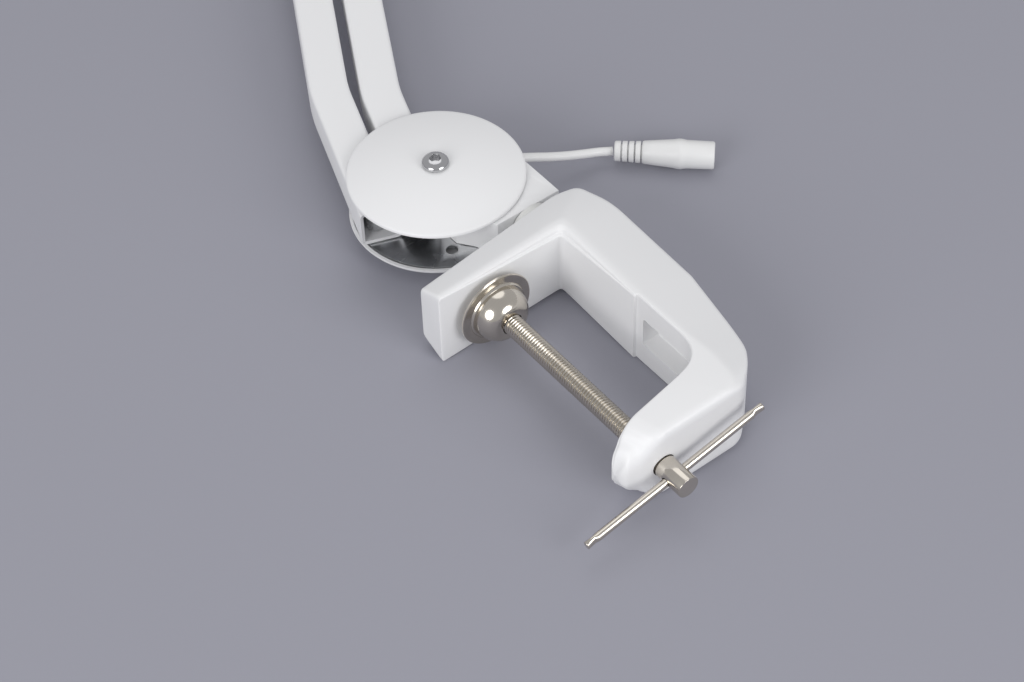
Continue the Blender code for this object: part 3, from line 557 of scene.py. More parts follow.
def clamp_stations():
    """Sections across the casting, from the upper jaw's tip round to the lower jaw's tip.

    Each has four points in the plane: the inner wall, its bevelled edge, the ridge and the outer wall. Then
    come the half height of the outer wall, the drop of the bevelled edge and the rounding along the casting.
    """
    tip, root, face, throat = -THROAT - 0.0226 + TIP_ROUND, JAW_ROOT, JAW_FACE, -THROAT
    step = SPINE_STEP
    return [
        ((tip, 0), (tip + 0.0003, 0.0004), (tip + 0.0004, 0.0022), (tip + 0.0004, 0.0124),
         JAW_HALF, 0.0004, 0),
        ((-0.0030, 0), (-0.0028, 0.0026), (-0.0024, 0.0050), (0.0130, 0.0199), JAW_HALF, 0.0026, 0.004),
        ((0, 0), (0.0026, 0.0026), (0.0050, 0.0050), (0.0225, 0.0178), JAW_HALF, 0.0026, 0.003),
        ((0.0001, -0.0030), (0.0026, -0.0028), (0.0050, -0.0024), (0.0271, 0.0035), JAW_HALF, 0.0026, 0.006),
        ((0, step), (0.0005, step), (0.0030, step), (0.0255, -0.0440), JAW_HALF, 0.0005, 0.0001),
        ((0.0012, step - 0.0003), (0.0016, step - 0.0003), (0.0030, step - 0.0003),
         (0.0254, -0.0450), JAW_HALF, 0.0005, 0.0001),
        ((0.0012, root + 0.0080), (0.0016, root + 0.0078), (0.0030, root + 0.0075),
         (0.0200, root + 0.0045), JAW_HALF, 0.0005, 0.006),
        ((-0.0012, root + 0.0020), (-0.0008, root + 0.0017), (0.0040, root - 0.0020),
         (0.0174, root - 0.0060), JAW_HALF, 0.0005, 0.004),
        ((-0.0060, root - 0.0018), (-0.0058, root - 0.0022), (0.0022, face + 0.0042),
         (0.0120, face + 0.0085), JAW_HALF + 0.001, 0.0005, 0.004),
        ((-0.0130, root - 0.0035), (-0.0130, root - 0.0040), (-0.0030, face + 0.0016),
         (0.0030, face + 0.0004), LOW_HALF, 0.0008, 0.003),
        ((throat - 0.0050, root - 0.0078), (throat - 0.0050, root - 0.0085),
         (throat - 0.0020, face + 0.0016), (throat - 0.0020, face), LOW_HALF, 0.0012, 0.003),
        ((throat - 0.0105, root - 0.0088), (throat - 0.0096, root - 0.0102),
         (throat - 0.0065, face + 0.0034), (throat - 0.0080, face + 0.0010),
         LOW_HALF - 0.0030, 0.0026, 0.006),
        ((throat - 0.0134, root - 0.0100), (throat - 0.0115, root - 0.0116),
         (throat - 0.0100, root - 0.0160), (throat - 0.0128, root - 0.0186), LOW_HALF - 0.0052, 0.0048, 0),
    ]


def clamp_rings():
    """The stations as rings round the casting, rounded along it and round it."""
    tracks = [[] for _ in range(12)]
    reaches = []
    for inner, edge, ridge, outer, half, drop, reach in clamp_stations():
        low, high = [Vector(inner).lerp(Vector(edge), share) for share in (0.46, 0.56)]
        low_drop = drop * 0.84
        high_drop = drop * 0.30
        section = [(*inner, drop), (*inner, DEPTH - drop), (*low, DEPTH - low_drop),
                   (*high, DEPTH - high_drop), (*edge, DEPTH), (*ridge, DEPTH), (*outer, MID + half),
                   (*outer, MID - half), (*ridge, 0), (*edge, 0), (*high, high_drop), (*low, low_drop)]
        for track, point in zip(tracks, section):
            track.append(CORNER + Vector(point))
        reaches.append(reach)
    tracks = [rounded_corners(track, reaches, 5, closed=False) for track in tracks]
    step, broad = 0.00035, 0.0020
    rounding = [0.0006, 0.0006, step, step, 0.0007, broad, broad, broad, broad, 0.0007, step, step]
    rings = []
    for index, ring in enumerate(zip(*tracks)):
        nose = max(0, index / len(tracks[0]) - NOSE_START) / (1 - NOSE_START)
        height = 1 - NOSE_FALL * nose ** 2
        ring = [Vector((point.x, point.y, MID + (point.z - MID) * height)) for point in ring]
        rings.append(rounded_corners(ring, [reach + NOSE_ROUND * nose for reach in rounding], 4, closed=True))
    return rings


def make_clamp():
    rings = clamp_rings()
    tip = blunt_end(rings[0], Vector((-1, 0, 0)), TIP_ROUND)
    nose = domed_end(rings[-1], Vector((-0.97, -0.22, 0)).normalized(), NOSE_LENGTH, math.radians(22))
    casting = skin_over(tip[::-1] + rings + nose)
    bmesh.ops.triangulate(casting, faces=[face for face in casting.faces if len(face.verts) > 4])
    pocket = soften(block(POCKET_SIZE, (*POCKET_AT, MID)), 0.0008)
    move(pocket, at(CORNER.x, CORNER.y, 0))
    bush_bore = move(cylinder(0.0072, 0.0026, 0.03), POST_AXIS)
    head_recess = move(cylinder(0.0046, JAW_FACE - 0.01, JAW_FACE + 0.0032), SCREW_AXIS)
    screw_bore = move(cylinder(THREAD_RADIUS + FIT, JAW_FACE - 0.01, JAW_ROOT + 0.01), SCREW_AXIS)
    casting = carve(casting, pocket, bush_bore, head_recess, screw_bore)
    piece("clamp_casting", casting, WHITE, "clamp", ["clamp_frame"], 28)


def make_bush():
    """The bush that the base's post turns in, with a flange that lies on the clamp."""
    bore, barrel, flange = 0.0053, 0.0066, 0.0090
    foot, shoulder, top = 0.0029, 0.0203, 0.0235
    bush = turned([(bore, foot), (barrel, foot), (barrel, shoulder), (flange, shoulder), (flange, top),
                   (bore, top)], True, 0.0003)
    piece("swivel_bush", move(bush, POST_AXIS), NYLON, "clamp", ["post_bush"])


def thread(low, high):
    """A screw thread about Z: one tooth's outline carried round as it climbs, over a core."""
    turns = int((high - low) / THREAD_PITCH)
    steps = 24
    root_radius = THREAD_RADIUS - THREAD_DEPTH
    shape = bmesh.new()
    outline = [(root_radius, 0), (root_radius, 0.10), (THREAD_RADIUS, 0.44), (THREAD_RADIUS, 0.56),
               (root_radius, 0.90), (root_radius, 1.0)]
    points = [shape.verts.new((radius, 0, low + share * THREAD_PITCH)) for radius, share in outline]
    edges = [shape.edges.new(pair) for pair in zip(points, points[1:])]
    bmesh.ops.spin(shape, geom=points + edges, axis=(0, 0, 1), cent=(0, 0, 0), steps=steps * turns,
                   dvec=(0, 0, THREAD_PITCH / steps), angle=math.tau * turns, use_merge=False,
                   use_duplicate=False)
    bmesh.ops.remove_doubles(shape, verts=shape.verts, dist=2 * MERGE)
    ends = [edge for edge in shape.edges if edge.is_boundary]
    flat = [edge for edge in ends if abs(edge.verts[0].co.y) < 1e-7 and abs(edge.verts[1].co.y) < 1e-7]
    for group in (flat[:len(flat) // 2], flat[len(flat) // 2:]):
        bmesh.ops.contextual_create(shape, geom=group)
    bmesh.ops.recalc_face_normals(shape, faces=shape.faces)
    return shape


def add_shape(shape, other):
    """Puts another shape's faces into this one."""
    mesh = bpy.data.meshes.new("part")
    other.to_mesh(mesh)
    other.free()
    shape.from_mesh(mesh)
    bpy.data.meshes.remove(mesh)
    return shape


def make_pad():
    """The swivel pad: a pressed flange with a rolled lip, and a dome that holds the screw's tip."""
    top = PAD_TOP
    bore = THREAD_RADIUS + FIT
    lip = [(0, top), (0.0150, top), (0.0154, top - 0.0003), (0.0154, top - 0.0008), (0.0151, top - 0.0011),
           (0.0146, top - 0.0010), (0.0121, top - 0.0013), (0.0119, top - 0.0019), (0.0116, top - 0.0022)]
    dome = quarter(bore + 0.0009, PAD_DOME, top - PAD_FLANGE, PAD_FLANGE - PAD_DEPTH)
    inside = [(bore, top - PAD_DEPTH), (bore, PAD_SEAT), (0, PAD_SEAT)]
    pad = turned(lip + dome + inside)
    piece("swivel_pad_pressing", move(pad, SCREW_AXIS), NICKEL, "pad", ["swivel_pad"], 40)


def bar_frame():
    """Lays a shape that was turned about Z along the T-bar."""
    middle = Vector((CORNER.x - THROAT, CORNER.y + SCREW_HEAD - 0.0054, MID))
    return aimed(middle, Vector(JOINTS["t_bar_slide"]["axis"]))


def make_spindle():
    """The clamp screw: a thread on a core, and a plain head with a hole for the T-bar."""
    head, end, head_radius = SCREW_HEAD, SCREW_HEAD - 0.0125, 0.0044
    tip = PAD_SEAT - FIT
    core = THREAD_RADIUS - THREAD_DEPTH + 0.00002
    low, high = head + 0.0015, tip - 0.0035
    spindle = turned([(0, tip), (core - 0.0008, tip), (core, tip - 0.0008), (core, low), (THREAD_RADIUS, low),
                      (THREAD_RADIUS, head), (head_radius, head), (head_radius, end), (0, end)], edge=0.0005)
    bar_hole = move(cylinder(BAR_RADIUS + FIT, -0.01, 0.01), bar_frame())
    spindle = carve(move(spindle, SCREW_AXIS), bar_hole)
    add_shape(spindle, move(thread(low, high), SCREW_AXIS))
    piece("clamp_spindle", spindle, NICKEL, "screw", ["clamp_screw"], 40)


def make_t_bar():
    """The T-bar, with both ends pinched so that they can't slip through the screw's head."""
    pinches = ((0, 0.92, 1.0), (0.0022, 0.72, 1.16), (0.0036, 0.62, 1.22), (0.0050, 1.0, 1.0))
    heights = [distance - BAR_HALF for distance, flat, wide in pinches]
    outline = [(BAR_RADIUS, height) for height in heights + [-height for height in reversed(heights)]]
    bar = turned([(0, -BAR_HALF)] + outline + [(0, BAR_HALF)], sides=SIDES // 2)
    for distance, flat, wide in pinches:
        ring = [vertex for vertex in bar.verts if abs(abs(vertex.co.z) - BAR_HALF + distance) < 10 * MERGE]
        bmesh.ops.scale(bar, vec=(flat, wide, 1), verts=ring)
    soften(bar, 0.0003, 40)
    piece("tommy_bar", move(bar, bar_frame()), BAR_NICKEL, "handle", ["t_bar"], 40)


# ---------------------------------------------------------------- joint hubs


def cover_shape():
    """A domed cover with a rolled rim."""
    hole = HUB_SCREW_RADIUS + FIT
    reach = COVER_RADIUS - 0.0009
    inner = COVER_RADIUS - COVER_WALL
    steps = 16
    radii = [hole + (reach - hole) * step / steps for step in range(steps + 1)]
    outside = [(radius, RIM + COVER_RISE * (1 - (radius / COVER_RADIUS) ** 2)) for radius in radii]
    rolled = [(COVER_RADIUS - 0.0003, RIM + 0.00005), (COVER_RADIUS, RIM - 0.0004),
              (COVER_RADIUS, PLATE_IN + FIT), (inner, PLATE_IN + FIT), (inner, PLATE_OUT + FIT)]
    inside = [(min(radius, inner), height - COVER_WALL + FIT) for radius, height in reversed(outside[:-1])]
    return turned(outside + rolled + inside, ring=True)


def button_screw():
    """A joint's centre screw: a button head with a hexagonal socket, on a shank through both covers."""
    top = APEX + FIT
    end = -APEX - 0.0016
    radius = HUB_SCREW_RADIUS
    shank = [(0, end), (radius - 0.0004, end), (radius, end + 0.0004), (radius, top)]
    head = [(BUTTON_RADIUS - 0.00005, top)] + quarter(0, BUTTON_RADIUS, top + BUTTON_RIM, BUTTON_RISE)
    socket = prism(hexagon(0.0023, 12), top + 0.0010, top + 0.01)
    lead_in = cone(0.0020, 0.0027, top + 0.00255, top + 0.00325, 48)
    return carve(turned(shank + head), socket, lead_in)


def hexagon_nut():
    """A nut under the lower cover, with the corners of its outer face turned off."""
    face, over, under = -APEX - 0.0018, -APEX + 0.0010, -APEX - 0.0030
    nut = prism(hexagon(NUT_RADIUS), face, -APEX - FIT)
    crown = cone(NUT_RADIUS - 0.0007, NUT_RADIUS + 0.0008, face, face + 0.0016, 64)
    outside = carve(cylinder(NUT_RADIUS + 0.002, under, over), crown)
    return carve(nut, outside, cylinder(HUB_SCREW_RADIUS + FIT, under, over))


def pivot_pin():
    """A pin through both plates, with a shoulder that turns inside the tube."""
    reach = TUBE_SIDE / 2 - TUBE_WALL - FIT
    shoulder = 0.0042
    return turned([(0, -PLATE_OUT), (PIVOT_RADIUS, -PLATE_OUT), (PIVOT_RADIUS, -reach), (shoulder, -reach),
                   (shoulder, reach), (PIVOT_RADIUS, reach), (PIVOT_RADIUS, PLATE_OUT), (0, PLATE_OUT)],
                  edge=0.00025, sides=SIDES // 2)


def make_hub_side(name, side, way, holes):
    """A joint's plate and domed cover on one side. way is 1 above the arms and -1 below them."""
    centre = HUB_CENTRES[name]
    flip = Matrix.Identity(4) if way == 1 else Matrix.Rotation(math.pi, 4, "X")
    put = at(*centre, MID) @ flip
    drills = []
    for point, radius in holes:
        drill = cylinder(radius + FIT, PLATE_IN - 0.001, PLATE_OUT + 0.001, DRILL_SIDES)
        drills.append(move(drill, at(point.x - centre.x, way * (point.y - centre.y), 0)))
    plate = move(carve(cylinder(PLATE_RADIUS, PLATE_IN, PLATE_OUT, SIDES), *drills), put)
    piece(f"{name}_side_plate_{side}", soften(plate, 0.00015, 50, 2), STEEL, name,
          [f"{name}_plate_{side}"])
    piece(f"{name}_dome_{side}", move(cover_shape(), put), WHITE, name,
          [f"{name}_cover_{side}"], 50)


def make_hub(name, pins, other_holes=()):
    """Both sides of a joint, its centre screw, nut and spacer, and its pivot pins."""
    centre = HUB_CENTRES[name]
    holes = [(centre, HUB_SCREW_RADIUS)] + [(point.xy, PIVOT_RADIUS) for point in pins.values()]
    holes += other_holes
    make_hub_side(name, "top", 1, holes)
    make_hub_side(name, "bottom", -1, holes)
    put = at(*centre, MID)
    piece(f"{name}_centre_screw", move(button_screw(), put), CHROME, name, [f"{name}_screw"])
    piece(f"{name}_centre_nut", move(hexagon_nut(), put), CHROME, name, [f"{name}_nut"])
    if f"{name}_spacer" in frame["nodes"]:
        bore, outside, reach = HUB_SCREW_RADIUS + FIT, 0.0041, PLATE_IN - FIT
        tube = turned([(bore, -reach), (outside, -reach), (outside, reach), (bore, reach)], True, 0.0002)
        piece(f"{name}_spacer_tube", move(tube, put), STEEL, name, [f"{name}_spacer"])
    for label, point in pins.items():
        piece(f"{name}_pin_{label}", move(pivot_pin(), at(point.x, point.y, MID)), STEEL, name,
              [f"{name}_pivot_{label}"])


# ---------------------------------------------------------------- base


def make_base():
    rivets = {number: middle_of(f"bracket_rivet_{number}") for number in (1, 2)}
    spare = HUB_CENTRES["base"] + Vector((-0.0100, -0.0220))
    holes = [(point.xy, RIVET_RADIUS) for point in (*rivets.values(), spare)]
    make_hub("base", {"a": pivot("lower_arm_a_swing"), "b": pivot("lower_arm_b_swing")}, holes)
    for number, point in rivets.items():
        rivet = turned([(0, -PLATE_OUT), (RIVET_RADIUS, -PLATE_OUT), (RIVET_RADIUS, PLATE_OUT),
                        (0, PLATE_OUT)], edge=0.0003, sides=SIDES // 2)
        piece(f"neck_rivet_{number}", move(rivet, at(point.x, point.y, MID)), STEEL, "base",
              [f"bracket_rivet_{number}"])
    neck = soften(copy_of("neck_bracket"), 0.0006, 30)
    piece("neck_box", neck, WHITE, "base", ["neck_bracket"])


def make_swivel_post():
    """The post that turns in the clamp's bush, with a washer under the neck."""
    high = box_of("swivel_post")[1]
    washer, top = high.z - MID, high.y - CORNER.y
    radius, foot, shoulder = 0.0050, 0.0035, top - 0.003
    post = turned([(0, foot), (radius, foot), (radius, shoulder), (washer, shoulder), (washer, top),
                   (0, top)], edge=0.0005)
    piece("swivel_post_pin", move(post, POST_AXIS), STEEL, "base", ["swivel_post"])


# The free lead: out of its clip, down to the floor and into its jack
LEAD_ROUTE = [
    (0.0085, 0.0580, 0.01675), (0.0130, 0.0573, 0.01675), (0.0180, 0.0562, 0.0166), (0.0235, 0.0546, 0.0156),
    (0.0290, 0.0529, 0.0139), (0.0345, 0.0512, 0.0120), (0.0400, 0.0497, 0.0102), (0.0455, 0.0484, 0.0085),
    (0.0510, 0.0471, 0.0070), (0.0555, 0.0457, 0.0061), (0.0600, 0.0430, 0.0058),
]
JACK_START = Vector((0.0605, 0.0426, 0.0060))
JACK_END = Vector((0.0892, 0.0157, 0.0060))


def tube_along(name, points, body, node):
    """A stretch of lead as a curve through its points."""
    curve = bpy.data.curves.new(name, "CURVE")
    curve.dimensions = "3D"
    curve.bevel_depth = LEAD_DIAMETER / 2
    curve.bevel_resolution = 6
    curve.use_fill_caps = True
    spline = curve.splines.new("POLY")
    spline.points.add(len(points) - 1)
    for knot, point in zip(spline.points, points):
        knot.co = (*point, 1)
    spline.use_smooth = True
    curve.materials.append(VINYL)
    made = bpy.data.objects.new(name, curve)
    bpy.context.collection.objects.link(made)
    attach(made, body)
    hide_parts(node)
    return made


def smooth_route(points, steps):
    """A smooth curve through a few points, with so many steps from each to the next."""
    route = [Vector(point) for point in points]
    ends = [2 * route[0] - route[1]] + route + [2 * route[-1] - route[-2]]
    curve = []
    for before, one, two, after in zip(ends, ends[1:], ends[2:], ends[3:]):
        slope = two - before
        square = 2 * before - 5 * one + 4 * two - after
        cube = 3 * one - before - 3 * two + after
        for step in range(steps):
            share = step / steps
            curve.append(0.5 * (2 * one + slope * share + square * share ** 2 + cube * share ** 3))
    return curve + [route[-1]]


def jack_outline(length):
    """The jack's shell in profile: a strain relief with four grooves, a tapered grip and a socket."""
    floor, width, edge = 0.0028, 0.0006, 0.0002
    relief = [(0, 0.0001), (0.0036, 0.0001), (0.0040, 0.0005)]
    for groove in range(4):
        start = 0.0026 + groove * 0.0026
        end = start + width
        radius = 0.00405 + 0.0001 * groove
        relief += [(radius, start - edge), (radius - edge, start), (floor, start), (floor, end),
                   (radius - edge, end), (radius, end + edge)]
    grip = [(0.0046, 0.0118), (0.0049, 0.0150), (0.0053, 0.0195), (0.0057, 0.0235), (0.0060, 0.0250),
            (0.0060, 0.0262), (0.0058, 0.0272), (0.0056, 0.0285), (0.0055, length - 0.0008),
            (0.0051, length - 0.0001), (0.0045, length)]
    bore, bottom = 0.0029, length - 0.0100
    socket = [(bore + 0.0002, length), (bore, length - 0.0003), (bore, bottom), (0, bottom)]
    return relief + grip + socket


def make_jack():
    """The jack's shell, its contact pin and the metal sleeve in its socket."""
    run = JACK_END - JACK_START
    length = run.length
    put = aimed(CORNER + JACK_START, run)
    jack = turned(jack_outline(length), sides=SIDES // 2)
    shell = piece("jack_shell", move(jack, put), VINYL, "base", ["power_jack"], 40)
    pin = turned([(0, length - 0.0097), (0.0010, length - 0.0097), (0.0010, length - 0.0016),
                  (0.0008, length - 0.0011), (0.0003, length - 0.0008), (0, length - 0.0008)], sides=32)
    contact = piece("jack_pin", move(pin, put), NICKEL, "base", ["jack_contact"])
    bore, outside, bottom, mouth = 0.00250, 0.00282, length - 0.0096, length - 0.0012
    sleeve = turned([(outside, bottom), (bore, bottom), (bore, mouth), (outside, mouth)], True, 0.00008, 48)
    liner = piece("jack_sleeve", move(sleeve, put), CHROME, "base")
    return shell, contact, liner


def make_lead():
    route = [CORNER + point for point in smooth_route(LEAD_ROUTE, 3)]
    lead = tube_along("power_cord", route, "base", "power_lead")
    shell, contact, liner = make_jack()
    clip = soften(copy_of("cord_clip"), 0.0004, 40)
    piece("lead_clip", clip, NYLON, "base", ["cord_clip"])


# ---------------------------------------------------------------- arms


def tube_skin(path, ways, half, corner):
    """Rings of a rounded square, one at each point of the path, mitred at its bends."""
    square = [Vector((half * side, half * up, 0)) for side, up in ((1, 1), (-1, 1), (-1, -1), (1, -1))]
    square = rounded_corners(square, corner, 5, closed=True)
    rings = []
    for index, point in enumerate(path):
        before, after = ways[max(index - 1, 0)], ways[min(index, len(ways) - 1)]
        across = Vector((-before.y - after.y, before.x + after.x, 0)).normalized()
        stretch = 1 / across.dot(Vector((-after.y, after.x, 0)))
        rings.append([point + across * spot.x * stretch + Vector((0, 0, MID + spot.y)) for spot in square])
    return rings


def square_tube(path):
    """A drawn square tube with round corners and open ends, along a path in the middle plane."""
    path = rounded_corners([Vector((point.x, point.y, 0)) for point in path], 0.006, 4, closed=False)
    ways = [(two - one).normalized() for one, two in zip(path, path[1:])]
    outer = tube_skin(path, ways, TUBE_SIDE / 2, TUBE_CORNER)
    inner = tube_skin(path, ways, TUBE_SIDE / 2 - TUBE_WALL, TUBE_CORNER - TUBE_WALL * 0.8)
    inner[0] = [point + ways[0] * TUBE_DEBURR for point in inner[0]]
    inner[-1] = [point - ways[-1] * TUBE_DEBURR for point in inner[-1]]
    shape = skin_over(outer + inner[::-1] + outer[:1], capped=False, lining=len(outer))
    bmesh.ops.remove_doubles(shape, verts=shape.verts, dist=MERGE)
    bmesh.ops.recalc_face_normals(shape, faces=shape.faces)
    return shape


def make_tube(arm, side, start, legs):
    """A tube that runs past its pivots by TUBE_END, drilled for their pins. Legs are lengths and angles."""
    point = start.xy - polar(TUBE_END, legs[0][1])
    path = [point]
    for index, (length, angle) in enumerate(legs):
        more = TUBE_END * (index == 0) + TUBE_END * (index == len(legs) - 1)
        point = point + polar(length + more, angle)
        path.append(point)
    far = point - polar(TUBE_END, legs[-1][1])
    drills = [move(cylinder(PIVOT_RADIUS + FIT, MID - 0.02, MID + 0.02, DRILL_SIDES), at(*end, 0))
              for end in (start.xy, far)]
    piece(f"{arm}_arm_tube_{side}", carve(square_tube(path), *drills), [WHITE, LINING], f"{arm}_{side}",
          [f"{arm}_tube_{side}"], 30)


def coil_spring(start, angle, body, node):
    """A close-wound steel spring inside a tube."""
    wire, radius, pitch = 0.0006, 0.0041, 0.0016
    turns = int(SPRING_LENGTH / pitch) - 1
    steps = 16
    shape = bmesh.new()
    bmesh.ops.create_circle(shape, cap_ends=False, segments=6, radius=wire,
                            matrix=at(radius, 0, wire) @ Matrix.Rotation(math.radians(90), 4, "X"))
    bmesh.ops.spin(shape, geom=shape.verts[:] + shape.edges[:], axis=(0, 0, 1), cent=(0, 0, 0),
                   steps=steps * turns, dvec=(0, 0, pitch / steps), angle=math.tau * turns, use_merge=False,
                   use_duplicate=False)
    bmesh.ops.holes_fill(shape, edges=[edge for edge in shape.edges if edge.is_boundary])
    bmesh.ops.recalc_face_normals(shape, faces=shape.faces)
    move(shape, along((*start, middle_of(node).z), angle))
    piece(f"{node}_coil", shape, SPRING_STEEL, body, [node], 60)


def inner_lead(name, start, way, length, body, node):
    """The lead inside a tube, lying loosely along its lower wall."""
    low = MID - TUBE_SIDE / 2 + TUBE_WALL + LEAD_DIAMETER / 2 + FIT
    across = polar(TUBE_SIDE / 2 - TUBE_WALL - LEAD_DIAMETER / 2 - 0.0008, way + math.radians(90))
    steps = 48
    points = []
    for step in range(steps + 1):
        share = step / steps
        spot = start + polar(length * share, way) + across * math.cos(math.tau * share) * 0.8
        points.append((*spot, low))
    tube_along(name, points, body, node)


def make_lower_arm():
    middle = LOWER_ANGLE + LOWER_BEND
    a, b, elbow = pivot("lower_arm_a_swing"), pivot("lower_arm_b_swing"), pivot("elbow_level")
    near, far = LOWER_ENDS - LOWER_SHIFT, LOWER_ENDS + LOWER_SHIFT
    straight = ((elbow - a).xy - polar(2 * LOWER_ENDS, LOWER_ANGLE)).length
    make_tube("lower", "a", a, [(LOWER_ENDS, LOWER_ANGLE), (straight, middle), (LOWER_ENDS, LOWER_ANGLE)])
    make_tube("lower", "b", b, [(near, LOWER_ANGLE), (straight, middle), (far, LOWER_ANGLE)])
    inset = 0.020
    bend_a = a.xy + polar(LOWER_ENDS, LOWER_ANGLE)
    coil_spring(bend_a + polar(inset, middle), middle, "lower_a", "lower_spring")
    bend_b = b.xy + polar(near, LOWER_ANGLE)
    inner_lead("lower_lead_run", bend_b + polar(inset, middle), middle, straight - 2 * inset, "lower_b",
               "lower_inner_lead")


def make_upper_arm():
    a, b, wrist = pivot("upper_arm_a_swing"), pivot("upper_arm_b_swing"), pivot("wrist_level")
    reach = (wrist - a).xy.length
    make_tube("upper", "a", a, [(reach, UPPER_ANGLE)])
    make_tube("upper", "b", b, [(reach, UPPER_ANGLE)])
    inset = 0.030
    coil_spring(a.xy + polar(inset, UPPER_ANGLE), UPPER_ANGLE, "upper_a", "upper_spring")
    inner_lead("upper_lead_run", b.xy + polar(inset, UPPER_ANGLE), UPPER_ANGLE, reach - 2 * inset, "upper_b",
               "upper_inner_lead")


def make_elbow_and_wrist():
    low_a, up_a = pivot("elbow_level"), pivot("upper_arm_a_swing")
    pair = pivot("lower_arm_b_swing") - pivot("lower_arm_a_swing")
    upper_pair = pivot("upper_arm_b_swing") - up_a
    make_hub("elbow", {"low_a": low_a, "low_b": low_a + pair, "up_a": up_a, "up_b": up_a + upper_pair})
    wrist = pivot("wrist_level")
    make_hub("wrist", {"a": wrist, "b": wrist + upper_pair})


# ---------------------------------------------------------------- head

HEAD_RADIUS = 0.095
HEAD_WALL = 0.002
HEAD_DEPTH = 0.0335
HEAD_SPLIT = HEAD_DEPTH - 0.0087  # height of the seam between the shell and the bezel
LIGHT_HEIGHT = HEAD_DEPTH - 0.0068  # of the diffuser
FLANGE_HEIGHT = LIGHT_HEIGHT + 0.0026  # of the flanges that hold the diffuser down
BOARD_SEAT = HEAD_DEPTH - 0.0135
LENS_RADIUS = 0.0635
LENS_LOW = 0.0080 + FIT
LENS_HIGH = LENS_LOW + 0.0035
LUG_LENGTH = 0.040
HEAD_REACH = 0.050  # from the wrist's middle to the head's outer wall
HEAD_SIDES = SIDES * 3 // 2
HEAD_PUT = at(*HEAD_CENTRE, MID - HEAD_DEPTH / 2)
STEM_AXIS = along((*HUB_CENTRES["wrist"], MID), STEM_ANGLE)
BUTTONS = ("power", "brighter", "dimmer")


def make_head_mount():
    lug = soften(copy_of("tilt_lug"), 0.0007, 35)
    piece("tilt_lug_casting", lug, WHITE, "tilt", ["tilt_lug"])
    radius, collar = 0.004, 0.007
    start, low, high = LUG_LENGTH - 0.0175, LUG_LENGTH + 2 * FIT, HEAD_REACH - 2 * FIT
    end = HEAD_REACH + HEAD_WALL + 0.0005
    stem = turned([(0, start), (radius, start), (radius, low), (collar, low), (collar, high), (radius, high),
                   (radius, end), (0, end)], edge=0.0006)
    piece("head_stem_pin", move(stem, STEM_AXIS), STEEL, "head", ["head_stem"])


def button_axis(name):
    """Lays a shape that was turned about Z along a button's travel, outwards from the head's middle."""
    way = -Vector(JOINTS[f"{name}_press"]["axis"])
    return along((*HEAD_CENTRE, middle_of(f"{name}_button").z), math.atan2(way.y, way.x))


def make_back_shell():
    """The head's back: an outer wall with a rolled edge, and an inner wall with the lens's seat."""
    out, wall, lens_seat = HEAD_RADIUS, HEAD_WALL, 0.0080
    bore = LENS_RADIUS + 0.0005
    shell = turned([
        (bore - 0.0030, 0), (out - 0.0100, 0), (out - 0.0050, 0.0010), (out - 0.0018, 0.0040), (out, 0.0095),
        (out, HEAD_SPLIT), (out - wall, HEAD_SPLIT), (out - wall, 0.0096), (out - wall - 0.0020, 0.0040),
        (out - 0.0095, wall), (bore + wall, wall), (bore + wall, BOARD_SEAT), (bore, BOARD_SEAT),
        (bore, lens_seat), (bore - 0.0030, lens_seat),
    ], True, 0.0006, HEAD_SIDES)
    cutters = [move(cylinder(0.0043, HEAD_REACH - 0.004, HEAD_REACH + 0.006, 48), STEM_AXIS)]
    cutters += [move(cylinder(0.0048, out - 0.006, out + 0.004, 48), button_axis(name)) for name in BUTTONS]
    shell = carve(move(shell, HEAD_PUT), *cutters)
    piece("head_back_shell", shell, MOULDED, "head", ["head_housing"], 40)


def make_front_bezel():
    """The head's front rim, with a flange over the diffuser."""
    out, seam, top = HEAD_RADIUS, HEAD_SPLIT + FIT, HEAD_DEPTH
    step, flange = LIGHT_HEIGHT, FLANGE_HEIGHT
    bezel = turned([
        (out, seam), (out, top - 0.0028), (out - 0.0009, top - 0.0009), (out - 0.0028, top),
        (out - 0.0065, top), (out - 0.0085, top - 0.0012), (out - 0.0090, top - 0.0024),
        (out - 0.0090, flange), (out - 0.0057, flange), (out - 0.0057, step), (out - 0.0075, step),
        (out - 0.0075, seam),
    ], True, 0.0003, HEAD_SIDES)
    piece("head_front_bezel", move(bezel, HEAD_PUT), MOULDED, "head", ["head_bezel"], 40)


def make_lens():
    """The lens, domed on both faces, with a flat rim."""
    edge, rim, crown = 0.0004, LENS_RADIUS, 0.0055
    low, high = LENS_LOW, LENS_HIGH
    curved = rim - 0.0035
    shares = [step / 18 for step in range(19)]
    glass = [(curved * share, low - crown * (1 - share ** 2)) for share in shares]
    glass += [(rim - edge, low), (rim, low + edge), (rim, high - edge), (rim - edge, high)]
    glass += [(curved * share, high + crown * (1 - share ** 2)) for share in reversed(shares)]
    lens = turned(glass, sides=HEAD_SIDES)
    piece("lens", move(lens, HEAD_PUT), GLASS, "head", ["magnifying_lens"], 35)


def make_retaining_ring():
    """The ring that holds the lens down, with a flange over the diffuser."""
    lens, start, flange = LENS_RADIUS, LENS_HIGH + FIT, FLANGE_HEIGHT
    ring = turned([(lens - 0.0022, start), (lens + 0.0002, start), (lens + 0.0002, flange),
                   (lens + 0.0065, flange), (lens + 0.0065, flange + 0.0015),
                   (lens + 0.0005, flange + 0.0025), (lens - 0.0022, flange + 0.0005)],
                  True, 0.0004, HEAD_SIDES)
    piece("lens_retaining_ring", move(ring, HEAD_PUT), MOULDED, "head", ["lens_ring"], 40)


def flat_ring(outside, low, high, edge):
    """A flat ring round the lens."""
    inside = LENS_RADIUS + 0.0008
    return turned([(inside, low), (outside, low), (outside, high), (inside, high)], True, edge, HEAD_SIDES)


